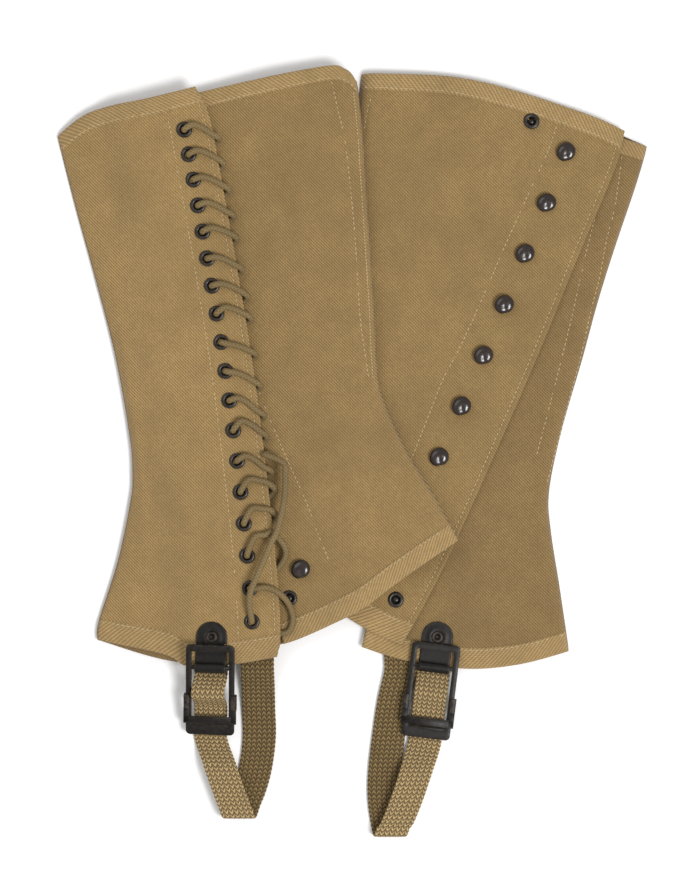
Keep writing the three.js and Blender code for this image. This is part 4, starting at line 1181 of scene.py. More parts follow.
@dataclass
class Buckle:
    """A chape with its rivet, a frame that swings on it and a slider that grips the strap."""

    side: str
    cloth: Placing
    cloth_body: str
    cloth_top: float
    drop: float
    turn: float
    reach: float = 17.5
    bar_height: float = 2.962
    above: float = 13.8
    below: float = 41.0
    half: float = 14.0
    window: float = 10.7
    thickness: float = 2.0
    bottom_bar: float = 7.0
    top_bar: float = 4.0
    corner: float = 2.6
    chape_half: float = 8.75
    roll_radius: float = 2.262
    slider_skin: float = 0.9
    slider_wide: float = 4.5
    arm_reach: float = 17.0
    grip_length: float = 9.0
    grip_wide: float = 3.3

    def __post_init__(self) -> None:
        """Works out where the chape and the frame are from the rivet's place."""
        rivet = self.cloth.back(centre(self.side + "_chape_rivet"))
        self.seat = self.cloth.then(Placing.of((rivet[0], rivet[1], self.cloth_top), "z", self.turn))
        self.hinge = self.seat.then(Placing.of((0, -self.reach, self.bar_height)))
        self.frame = self.hinge.then(Placing.of(axis="x", degrees=self.drop))

    def finish_piece(
        self, node: str, suffix: str, surface: Surface, placing: Placing, body: str
    ) -> bpy.types.Object:
        """Makes one metal piece in place of a CAD node.

        Args:
            node: The node's name after the side.
            suffix: The piece's name after the side.
            surface: Its mesh.
            placing: The frame of the mesh.
            body: The body that it moves with.

        Returns:
            The piece.
        """
        piece = make_piece(f"{self.side}_{suffix}", surface, METAL, placing)
        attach(piece, body)
        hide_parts(f"{self.side}_{node}")
        return piece

    def build_frame(self) -> bpy.types.Object:
        """A stamped frame: a flat section with eased edges carried round a rectangle, and its bar."""
        outer = rounded_rectangle(-self.half, -self.below, self.half, self.above, self.corner)
        inner = rounded_rectangle(-self.window, -self.below + self.bottom_bar, self.window,
                                  self.above - self.top_bar, 1.0)
        across = inner - outer
        width = np.linalg.norm(across, axis=1, keepdims=True)
        h = self.thickness / 2
        near = np.array([0.0, 0.0, 0.12, 0.45, 0.45, 0.12, 0.0, 0.0, 0.12, 0.45, 0.45, 0.12])
        far = np.array([0, 0, 0, 0, 1, 1, 1, 1, 1, 1, 0, 0], bool)
        level = np.array([-0.55, 0.55, 0.88, 1.0, 1.0, 0.88, 0.55, -0.55, -0.88, -1.0, -1.0, -0.88]) * h
        offset = np.where(far, width - near, near)
        flat = outer[:, None] + across[:, None] / width[:, None] * offset[..., None]
        rings = np.concatenate([flat, np.broadcast_to(level[None, :, None], (*flat.shape[:2], 1))], -1)
        girth, length = np.linspace(0, 0.01, 13), np.linspace(0, 0.12, len(outer))
        uv = np.stack(np.broadcast_arrays(girth[None], length[:, None]), -1)
        worn = np.array([0.1, 0.5, 1.0, 0.1, 0.1, 1.0, 0.4, 0.1, 0.3, 0.0, 0.0, 0.3])
        ring = loft(rings, uv, worn, closed=True)
        pin = bar((-self.half + 2, 0, 0), (self.half - 2, 0, 0), 2.4, 2.0, 0.8)
        along, ridge_y = self.window - 0.5, -self.below + 5.9
        ridge = bar((-along, ridge_y, h), (along, ridge_y, h), 1.2, 0.8, 0.35)
        surface = Surface.joined([ring, pin, ridge])
        return self.finish_piece("buckle_frame", "frame_stamping", surface, self.frame, f"{self.side}_buckle")

    def build_chape(self) -> bpy.types.Object:
        """A plate with a round end that lies on the cloth and rolls round the frame's bar.

        Its path goes down the plate and round the bar; its half width is the chord of the round end. A
        bell-shaped ring stands up round the rivet, and a bell-shaped dish sinks under it.
        """
        half, roll = self.chape_half, self.roll_radius
        y = self.reach + half * np.cos(np.linspace(0.12, math.pi / 2, 9))
        y = np.concatenate([y, np.linspace(self.reach, 0.5, 10)[1:]])
        width = np.sqrt(np.maximum(half**2 - np.clip(y - self.reach, 0, None) ** 2, 0.2))
        angle = np.radians(np.linspace(270, 40, 22))
        plate = np.stack([y, np.full(len(y), -roll)], 1)
        path = np.concatenate([plate, np.stack([roll * np.cos(angle), roll * np.sin(angle)], 1)])
        width = np.concatenate([width, np.full(22, half)])
        across = np.linspace(-1, 1, 25)
        x = across[None] * width[:, None]
        yy, zz = (np.repeat(axis[:, None], 25, 1) for axis in path.T)
        rim = np.hypot(x, yy - self.reach)
        flat_part = (np.arange(len(path)) < len(y))[:, None]
        ring, dish = np.exp(-(((rim - 4.6) / 1.2) ** 2)), np.exp(-((rim / 3.0) ** 2))
        zz = zz + flat_part * (0.35 * ring - 0.25 * dish)
        top = np.stack([x, yy, zz + flat_part * 0.4], -1)
        uv = np.stack([x, yy - zz], -1) * MM
        surface = shell(top, uv, 0.8)
        edge = np.abs(np.tile(across, len(path))) > 0.95
        worn = np.concatenate([edge * 0.9, edge * 0.5, np.full(len(surface.points) - 2 * len(edge), 0.9)])
        surface.wear = worn
        return self.finish_piece("chape", "chape_plate", surface, self.hinge, self.cloth_body)

    def build_rivet(self) -> bpy.types.Object:
        """A tubular rivet with a domed rim and a dished middle."""
        sides = 28
        profile = [(0.02, -1.8), (2.4, -1.8), (2.5, -1.4), (1.5, -1.3), (1.5, 1.3), (3.3, 1.35), (3.35, 1.7),
                   (3.0, 2.25), (2.4, 2.45), (1.8, 2.25), (1.4, 1.7), (1.1, 1.3), (0.5, 1.15), (0.02, 1.15)]
        surface = lathe(profile, sides)
        worn = [0, 0, 0, 0, 0, 0, 0.7, 1, 1, 0.4, 0, 0, 0, 0]
        surface.wear = np.append(np.repeat(worn, sides), [0, 0]).astype(float)
        return self.finish_piece("chape_rivet", "tubular_rivet", surface, self.seat, self.cloth_body)

    def build_slider(self) -> bpy.types.Object:
        """A cross bar with two arms whose C section hooks under the frame's rails."""
        h, skin, wide = self.thickness / 2, self.slider_skin, self.slider_wide
        base = h + GAP
        outer = self.half + GAP + skin
        y = -(self.below - self.bottom_bar - GAP - wide / 2)
        foot = y - wide / 2
        pieces = [bar((-outer, y, base + skin / 2), (outer, y, base + skin / 2), wide, skin, 0.35)]
        along, ridge_y = outer - 3, y + 1.1
        pieces.append(bar((-along, ridge_y, base + skin), (along, ridge_y, base + skin), 1.0, 0.7, 0.3))
        top, under = base + skin, -h - GAP - skin
        inside = outer - self.grip_wide
        end = foot + self.arm_reach
        start = end - self.grip_length
        for side in (-1, 1):
            arm = np.array([(inside, base), (inside, top - 0.2), (inside + 0.2, top), (outer - 0.4, top),
                            (outer, top - 0.4), (outer, under + 0.4), (outer - 0.4, under), (inside, under),
                            (inside, under + skin), (outer - skin, under + skin), (outer - skin, base)])
            stations = np.array([start, start + 0.3, (start + end) / 2, end - 0.3, end])
            across, up = side * arm[None, :, 0], arm[None, :, 1]
            rings = np.stack(np.broadcast_arrays(across, stations[:, None], up), -1)
            uv = np.stack(np.broadcast_arrays(np.linspace(0, 0.02, 12)[None], stations[:, None] * MM), -1)
            pieces.append(loft(rings, uv, np.array([.3, .8, 1, .9, 1, .6, .5, .3, .2, .1, .2])))
            x, z = side * (outer - self.grip_wide / 2), base + skin / 2
            pieces.append(bar((x, foot + 1, z), (x, start + 1, z), self.grip_wide, skin, 0.35))
        slider = Surface.joined(pieces)
        return self.finish_piece("buckle_slider", "slider_bar", slider, self.frame, f"{self.side}_slider")

    def build(self) -> None:
        """Makes the four pieces."""
        self.build_chape()
        self.build_rivet()
        self.build_frame()
        self.build_slider()


@dataclass
class Strap:
    """A webbing strap under the instep: sewn to the hem, down and round, up through the buckle."""

    buckle: Buckle
    gaiter: Placing
    sewn: tuple[float, float]
    back: Sequence[Sequence[float]]
    turn: tuple[float, float]
    front: Sequence[Sequence[float]]
    bulge: tuple[float, float]
    tail_level: float
    width: float = 19.0
    thickness: float = 1.8
    radius: float = 4.0
    stitched: float = 22.0
    bell: float = 13.0
    eased_reach: float = 42.0

    def stations(self) -> tuple[Array, Array]:
        """The points of the strap's path and the direction of its width at each, in the pair's frame."""
        frame, gaiter = self.buckle.frame, self.gaiter
        thick = self.thickness / 2
        level, floor = 1 + GAP + thick, thick + 2 * GAP
        over = floor + 2 * self.radius
        behind = -self.buckle.thickness / 2 - self.buckle.slider_skin - 2 * GAP - thick
        hem = gaiter.point((*self.sewn, level))
        cloth_x, frame_x = gaiter.direction((1, 0, 0)), frame.direction((1, 0, 0))
        plain_x = np.array([1.0, 0, 0])
        angle = np.radians([-90, -45, 0, 45, 90])
        x, y = self.sewn
        path = [gaiter.point((x, y + self.stitched, level)), hem, gaiter.point((x, y - 5, level))]
        lifts = [p[2] if len(p) > 2 else 0 for p in self.back]
        path += [np.array([hem[0] + p[0], hem[1] + p[1], floor + lift]) for p, lift in zip(self.back, lifts)]
        path += [np.array([hem[0] + self.turn[0], hem[1] + self.turn[1] + self.radius * (1 - math.cos(a)),
                           floor + self.radius * (1 + math.sin(a))]) for a in angle]
        path += [np.array([hem[0] + p[0], hem[1] + p[1], over]) for p in self.front]
        self.split = 3 + len(self.back) + 2
        tail = gaiter.back(frame.point((0, 0, 0)))
        path += [frame.point(p) for p in ((0, -45, behind), (0, -34, behind), (0, -24.2, behind),
                                          (self.bulge[0], -15, self.bulge[1]), (0, -6.662, behind))]
        path += [gaiter.point((tail[0], tail[1] + d, self.tail_level)) for d in (0.5, 8.0)]
        between = len(self.back) + len(angle) + len(self.front)
        wide = [cloth_x] * 3 + [plain_x] * between + [frame_x] * 5 + [cloth_x] * 2
        return np.array(path), np.array(wide)

    def eased(self, x: Array, arc: Array, turn: float) -> Array:
        """The path's sideways places, averaged near the turn by a bell curve along its length.

        Args:
            x: The sideways place of each point.
            arc: The length along the path at each point.
            turn: The length along the path at the turn.

        Returns:
            The eased places, the same as before far from the turn.
        """
        weight = np.exp(-(((arc[:, None] - arc[None]) / self.bell) ** 2)) * np.gradient(arc)[None]
        share = smooth_step(1.6 - np.abs(arc - turn) / self.eased_reach)
        return x + ((weight @ x) / weight.sum(1) - x) * share

    def ribbon(self, path: Array, wide: Array, start: float) -> Surface:
        """A ribbed ribbon: a flat section with soft edges carried along the path.

        Ribs run along the strap as a cosine across its width, and each weft shows as a fine ripple on
        the edges. The width keeps its direction where the path leans, as a folded strap's does.

        Args:
            path: The middle line.
            wide: The direction of the width at each point.
            start: The length of strap before the first point.

        Returns:
            The closed surface.
        """
        along, side = unit(np.gradient(path, axis=0)), unit(wide)
        up = unit(np.cross(side, along))
        half, deep = self.width / 2, self.thickness / 2
        across = np.linspace(-1, 1, 47)
        soft = np.sqrt(np.clip(1 - np.abs(across) ** 14, 0, 1)) * 0.85 + 0.15
        rib = 0.07 * np.cos(2 * math.pi * across * half / 2.9)
        outline = np.vstack([np.stack([across * half, soft * (deep + rib)], 1),
                             np.stack([-across * half, -soft * (deep + rib)], 1)])
        run = start + runs(path)
        edge = (np.abs(outline[:, 0]) > half - 0.1)[None] * 0.12 * np.sin(2 * math.pi * run / 2.6)[:, None]
        reach = outline[None, :, 0] + np.sign(outline[None, :, 0]) * edge
        rings = path[:, None] + reach[..., None] * side[:, None] + outline[None, :, 1, None] * up[:, None]
        x = np.append(outline[:, 0], outline[0, 0])
        uv = np.stack(np.broadcast_arrays(x[None] * MM, run[:, None] * MM), -1)
        return loft(rings, uv)

    def build(self, bodies: tuple[str, str, str]) -> None:
        """Makes the strap in two pieces that meet at its turn.

        Args:
            bodies: The body at its sewn end, the one between, and the buckle's.
        """
        path, wide = self.stations()
        steps = 20
        line, width = spline(path, steps, True), spline(wide, steps)
        cut = self.split * steps
        arc = Line(line).arc()
        line[:, 0] = self.eased(line[:, 0], arc, float(arc[cut]))
        name, here = f"{self.buckle.side}_strap", Placing.of()
        back, front = slice(0, cut + 1), slice(cut, None)
        ribbon = self.ribbon(line[back], width[back], 0.0)
        # The back leg takes the darker webbing: painted shade for its inner face, which lies in the loop's
        # shadow.
        first = make_piece(name + "_back_leg", ribbon, STRAP_PAINTED_SHADE, here)
        ribbon = self.ribbon(line[front], width[front], float(arc[cut]))
        second = make_piece(name + "_front_leg", ribbon, STRAP_WEB, here)
        hem, bend, low = path[1] * MM, line[cut] * MM, self.buckle.frame.point((0, -45, -3)) * MM
        if bodies[0] == bodies[1]:
            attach(first, bodies[0])
        else:
            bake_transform(first)
        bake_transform(second)
        for piece in (first, second):
            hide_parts(name)


# ---------------------------------------------------------------- the lace
@dataclass
class LaceRun:
    """The lace up through each eyelet and round the flap's edge, and its long loose loop."""

    gaiter: Placing
    free_edge: Line
    diameter: float = 3.4
    under: float = 5.3
    over: float = 13.0
    bend: float = 2.0
    edge_middle: float = 9.0
    edge_reach: float = 3.0
    stitches: tuple[tuple[float, float, float, float], ...] = (
        # how far it arches, where it meets the edge and leaves it under the flap, and how far it bulges
        (3.5, -2.9, -7, 0), (2.8, -2.5, -8.3, 0), (1.8, -3, -8.9, 0.5), (2, -3.6, -8.7, 0.5),
        (2.7, -1.3, -6.5, 0), (1, -4, -8.7, 0), (1.5, -3, -9.4, 0.5), (4.5, 0, -5.5, 0.5),
        (-1.5, -5, -9.5, 0), (-1, -6, -11, 0), (1.8, -6.3, -11, 0), (6.8, -0.7, -6.5, 0), (3.7, -3.8, -8, 0),
        (9, 5.5, -2.5, 1), (11, 8, 0.5, 0.5), (14, 13.5, -8, 3.5))
    loose: tuple[tuple[float, float, float], ...] = (
        (19, 90.5, 0.3), (19.5, 83.5, 0.4), (19.5, 75.5, 0.7), (18.5, 66.5, 1), (17, 59.5, 1), (15, 52, 1),
        (12, 46, 1), (9, 39, 1), (6, 32, 1), (3, 25, 1.1), (0, 18, 1.1), (-1, 11.5, 0.7), (-0.7, 6, 0.2))

    def eyelets(self) -> Array:
        """The middles of the eyelets in the gaiter's frame, from the top."""
        return np.array([self.gaiter.back(centre(f"right_eyelet_{k:02d}"))[:2] for k in range(1, 19)])

    def edge_x(self, y: float) -> float:
        """Where the flap's edge is at this height."""
        return float(self.free_edge.x_at(np.array(y)))

    def round_edge(
        self, y: float, end: float, bulge: float, downwards: bool
    ) -> list[tuple[float, float, float]]:
        """Half a turn round the flap's edge.

        Args:
            y: The height where it starts.
            end: The height where it ends.
            bulge: How far it stands off the edge beyond its own reach.
            downwards: Whether it goes from the flap's top to its underside, and not back up.

        Returns:
            Its points.
        """
        turn = [0.5, 0.3, 0.1, -0.1, -0.3, -0.5]
        made = []
        for i, share in enumerate(turn):
            angle = (share if downwards else -share) * math.pi
            down = y + (end - y) * i / 5
            made.append((self.edge_x(down) + (self.edge_reach + bulge) * math.cos(angle), down,
                         self.edge_middle + self.edge_reach * math.sin(angle)))
        return made

    def rise(self, x: float, y: float, side: int) -> list[tuple[float, float, float]]:
        """Up through an eyelet, coming from one side below."""
        b = self.bend
        return [(x + side * b, y, self.under), (x + side * 0.3 * b, y, self.under + 0.3 * b),
                (x, y, self.under + b), (x, y, self.over - b)]

    def lean_out(self, x: float, y: float, arch: float) -> list[tuple[float, float, float]]:
        """Out of the eyelet over its rim, leaning up the leg as far as the stitch arches."""
        angle = math.atan2(arch, 5)
        across, up = self.bend * math.cos(angle), self.bend * math.sin(angle)
        steps = ((0.3, 0.3), (1.0, 0.0))
        return [(x + k * across, y + k * up, self.over - sink * self.bend) for k, sink in steps]

    def route(self) -> Array:
        """The lace's points in the gaiter's frame."""
        eyes = self.eyelets()
        low, high, b = self.under, self.over, self.bend
        path = [(eyes[0, 0] - 16, eyes[0, 1], low), (eyes[0, 0] - 9, eyes[0, 1], low)]
        for k, (arch, start, end, bulge) in enumerate(self.stitches):
            x, y = eyes[k]
            path += self.rise(x, y, 1 if k else -1) + self.lean_out(x, y, arch)
            wide = self.edge_x(y) - x
            path.append((x + 0.33 * wide, y + arch * 0.8, high))
            path.append((x + 0.68 * wide, y + arch * 0.8 + (start - arch * 0.8) * 0.35, high))
            path += self.round_edge(y + start, y + end, bulge, True)
        path += self.rise(*eyes[-2], 1) + self.lean_out(*eyes[-2], 0)
        x, y = eyes[-1]
        path += [(x + 9, y + 19.5, high), (x + 15, y + 17, high), (x + 19.5, y + 12.5, high - 2.5),
                 (x + 22.3, y + 6.7, low + 1.5), (x + 23.2, y + 0.4, low + 0.3), (x + 20.5, y - 6, low)]
        hidden = ((15, -6.5), (9, -1.5), (4.5, 6.5), (-3, 11), (-12, 18), (-15, 32), (-16, 60))
        path += [(x + dx, y + dy, low) for dx, dy in hidden]
        lx, ly = eyes[12]
        path += [(lx + dx, ly + dy, low) for dx, dy in ((-8, -16), (-1, -9), (7, -3.5))]
        path.append((self.edge_x(ly + 4) - 5, ly + 2, low))
        path += self.round_edge(ly + 4, ly + 4, 0, False)
        above = high + self.diameter + 0.3
        path += [(x + dx, y + dy, high + (above - high) * lift) for dx, dy, lift in self.loose]
        path += [(x, y + b, high), (x, y + 0.3 * b, high - 0.3 * b), (x, y, high - b), (x, y, low + b),
                 (x - 0.3 * b, y, low + 0.3 * b), (x - b, y, low), (x - 9, y, low)]
        return np.array(path)

    def build(self) -> bpy.types.Object:
        path = spline(self.gaiter.point(self.route()), 4, True)
        _, side, up = frames_along(path, np.array([0.0, 0.0, 1.0]))
        angle = np.linspace(0, 2 * math.pi, 12, endpoint=False)
        run = Line(path).arc()
        radius = self.diameter * 0.53 * (1 + 0.025 * np.sin(run[:, None] / 0.9 + 2 * angle))
        rings = (path[:, None] + (radius * np.cos(angle))[..., None] * side[:, None]
                 + (radius * np.sin(angle))[..., None] * up[:, None])
        uv = np.stack(np.broadcast_arrays(np.linspace(0, 1, 13)[None], run[:, None] * MM), -1)
        piece = make_piece("right_lacing_cord", loft(rings, uv), LACE, Placing.of())
        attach(piece, "right_eyelet_flap")
        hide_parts("right_lace")
        log.info("lace length %.3f m", run[-1] * MM)
        return piece


# ---------------------------------------------------------------- the two gaiters
def level_at(height: float) -> Height:
    """A level that is the same everywhere."""

    def level(places: Array) -> Array:
        """The same height at every place."""
        return np.full(places.shape[:-1], height)

    return level


@dataclass
class Gaiter:
    """What both gaiters have: a place, and two shapes of taped edge."""

    placing: Placing = field(init=False)
    top_tape: float = 9.0
    bottom_tape: float = 12.0

    def spot(self, node: str) -> tuple[float, float]:
        """Where a CAD node's middle is on the flat cloth."""
        return tuple(float(v) for v in self.placing.back(centre(node))[:2])

    def taped(self, panel: Panel, name: str, bottom: bool, node: str) -> list[bpy.types.Object]:
        """Binds one end of a panel with tape.

        Args:
            panel: The panel.
            name: The tape's name.
            bottom: Whether it is the panel's bottom end.
            node: The tape's CAD node.

        Returns:
            The tape and its stitching.
        """
        tape = Binding(name, panel, bottom, self.bottom_tape if bottom else self.top_tape, (node,))
        return [tape.build(), tape.stitching()]


@dataclass
class RightGaiter(Gaiter):
    """The upper gaiter, which leans on the other: its eyelet flap lies over its laced front."""

    lean: float = 3.850639
    left_limit: float = -169.5

    def __post_init__(self) -> None:
        """Settles its place and its outlines."""
        turned = Placing.of((self.left_limit, 0, 0), "y", -self.lean)
        self.placing = turned.then(Placing.of((-self.left_limit, 0, 0)))
        self.rear_fold = Line.through(
            (-169.5, 181.5), (-159, 141), (-148, 101.5), (-136, 55.5), (-127.5, 8), (-126, -13.5),
            (-127, -27.5), (-134.5, -63), (-145.5, -97.5), (-146.5, -108))
        self.front_fold = Line.through(
            (3, 212), (6, 184), (8, 153), (12.5, 86), (14, 53.5), (17, 33), (30.5, 2), (48, -26.5),
            (61, -50.5))
        self.free_edge = Line.through(
            (-89, 209), (-81.5, 192.5), (-75.5, 162.5), (-65, 103), (-56, 47), (-47.5, -20), (-42, -75),
            (-40.5, -106), (-42, -117))
        self.hidden_edge = Line.through((-132, 194), (-88, 50), (-60, -32), (-39, -110))

    def hinge_x(self, y: Array) -> Array:
        """Where the flap's hinge line crosses a height."""
        return -150 + (195 - y) * 42.5 / 311

    def outer_level(self, places: Array) -> Array:
        """The outer side's top: it climbs from the rear fold to the hinge, then up over the lace."""
        x, y = places[..., 0], places[..., 1]
        rear, hinge, free = self.rear_fold.x_at(y), self.hinge_x(y), self.free_edge.x_at(y)
        under = 1.3 + 2.3 * np.clip((x - rear) / (hinge - rear), 0, 1)
        return 1.0 + under + 5.4 * smooth_step((x - hinge) / (free - hinge) / 0.33)

    def build_inner(self) -> None:
        """Makes the inner panel."""
        patch = Patch.between(self.rear_fold, self.front_fold, [(-86, 202), (-18.5, 217)],
                              [(-94, -121), (-40, -110), (8, -86)])
        Panel("right_inner_cloth", patch, level_at(1.0), ("right_inner_panel",), "right_gaiter", self.placing,
              finish=CANVAS_INNER, step=3.5, wave=0.0).build()

    def build_front(self) -> None:
        """Makes the front panel with its tapes and stitching, and its hook facing."""
        seam = Line.through((-11.5, 213), (-8, 197.5), (-4, 180.5), (-1.5, 160.5), (1, 135.5), (3, 110.5),
                            (5, 77.5), (8.5, 52), (10, 42.5))
        groove = Line.through((-3, 212), (0.9, 196.3), (4.0, 170.7), (6.5, 140.8))
        facing = Line.through((-62, 60), (-51.3, 29.8), (-38, -1.8), (-25.4, -30), (-20.8, -42.7), (-13, -62))
        edge = Line(self.front_fold.at(np.linspace(0.02, 0.62, 60)) - [2.4, 0.3])
        patch = Patch.between(self.hidden_edge, self.front_fold, [(-86, 206.5), (-18.5, 220.5), (-3, 219)],
                              [(-30, -107), (-13, -99.5), (7.5, -89), (28, -73.5)])
        front = Panel("right_front_cloth", patch, level_at(3.3), ("right_front_panel",), "right_gaiter",
                      self.placing, finish=CANVAS_FRONT, folds=(self.front_fold,),
                      seams=(seam, facing, groove),
                      wave=0.75, rows=(0.01, 0.985), quiet=(self.free_edge,),
                      pits=(self.spot("right_front_eyelet"),))
        sewn = self.taped(front, "right_front_top_tape", False, "right_front_top_binding")
        sewn += self.taped(front, "right_front_bottom_tape", True, "right_front_bottom_binding")
        sewn += [Stitching("right_front_seam_stitching", seam, front).build(),
                 Stitching("right_hook_facing_stitching", facing, front).build(),
                 Stitching("right_front_edge_stitching", edge, front, pitch=1.9, dash=1.3).build()]
        front.build(sewn)
        inner_side = Line.through((-84, 196), (-52, 60), (-22, -40), (-10, -98))
        Panel("right_hook_facing_cloth", Patch.between(self.hidden_edge, inner_side, [], []), level_at(2.0),
              ("right_hook_facing",), "right_gaiter", self.placing, finish=CANVAS_INNER, step=4.0, wave=0.0,
              thickness=0.7, rows=(0.02, 0.97)).build()

    def build_outer(self) -> None:
        """Makes the outer side with its flap, tapes and stitching, and the eyelets' facing."""
        bend = Bend("right_gaiter", "right_eyelet_flap", (-128.75, 39.5, 5.0), (0.9908, 0.1354, 0.0))
        patch = Patch.between(self.rear_fold, self.free_edge, [(-150, 195), (-116.5, 202.5)],
                              [(-107.5, -116), (-94, -122.5), (-68.5, -121.5)])
        hem_line = Line(self.free_edge.at(np.linspace(0.03, 0.965, 60)) - [3.0, 0.4])
        down = np.linspace(196, -108, 60)
        eyelet_line = Line(np.stack([self.free_edge.x_at(down) - 15.8 - 8.2, down], 1))
        eyelets = tuple(self.spot(f"right_eyelet_{k:02d}") for k in range(1, 19))
        outer = Panel("right_outer_cloth", patch, self.outer_level, ("right_rear_panel", "right_eyelet_flap"),
                      "right_gaiter", self.placing, bend=bend, folds=(self.rear_fold,),
                      hems=(self.free_edge,),
                      seams=(hem_line, eyelet_line), wave=0.55, rows=(0.01, 0.985), pits=eyelets)
        sewn = self.taped(outer, "right_flap_top_tape", False, "right_flap_top_binding")
        sewn += self.taped(outer, "right_flap_bottom_tape", True, "right_flap_bottom_binding")
        sewn += [Stitching("right_flap_hem_stitching", hem_line, outer).build(),
                 Stitching("right_eyelet_facing_stitching", eyelet_line, outer).build()]
        outer.build(sewn)
        down = np.linspace(200, -112, 40)
        inner_side = Line(np.stack([self.free_edge.x_at(down) - 26, down], 1))
        outer_side = Line(np.stack([self.free_edge.x_at(down) - 1.2, down], 1))
        Panel("right_eyelet_facing_cloth", Patch.between(inner_side, outer_side, [], []), level_at(8.7),
              ("right_eyelet_facing",), "right_eyelet_flap", self.placing, finish=CANVAS_INNER, step=3.0,
              wave=0.0, thickness=0.7, rows=(0.02, 0.97)).build()

    def build_fittings(self) -> None:
        """Makes the eyelets and the hook on the front."""
        for k in range(1, 19):
            Eyelet(f"right_eyelet_{k:02d}", "right_eyelet_flap", self.placing, 10.2, 2.2, True).build()
        Eyelet("right_front_eyelet", "right_gaiter", self.placing, 3.5, 2.0, False).build()
        Hook("right_hook", "right_gaiter", self.placing, 3.5, 2.0).build()

    def build(self) -> None:
        """Makes the gaiter with its buckle and strap."""
        self.build_inner()
        self.build_front()
        self.build_outer()
        self.build_fittings()
        buckle = Buckle("right", self.placing, "right_eyelet_flap", 10.0, 18.0, -2.0)
        buckle.build()
        back = [(0.3, -15, 3.5), (0.5, -27, 0.6), (1, -45), (-1, -62), (-4.5, -77)]
        front = [(-13.5, -82), (-17.5, -73), (-21, -61)]
        strap = Strap(buckle, self.placing, (-54, -120), back, (-10.5, -90), front, (-1.2, 4), 4.4)
        strap.build(("right_gaiter", "right_eyelet_flap", "right_buckle"))


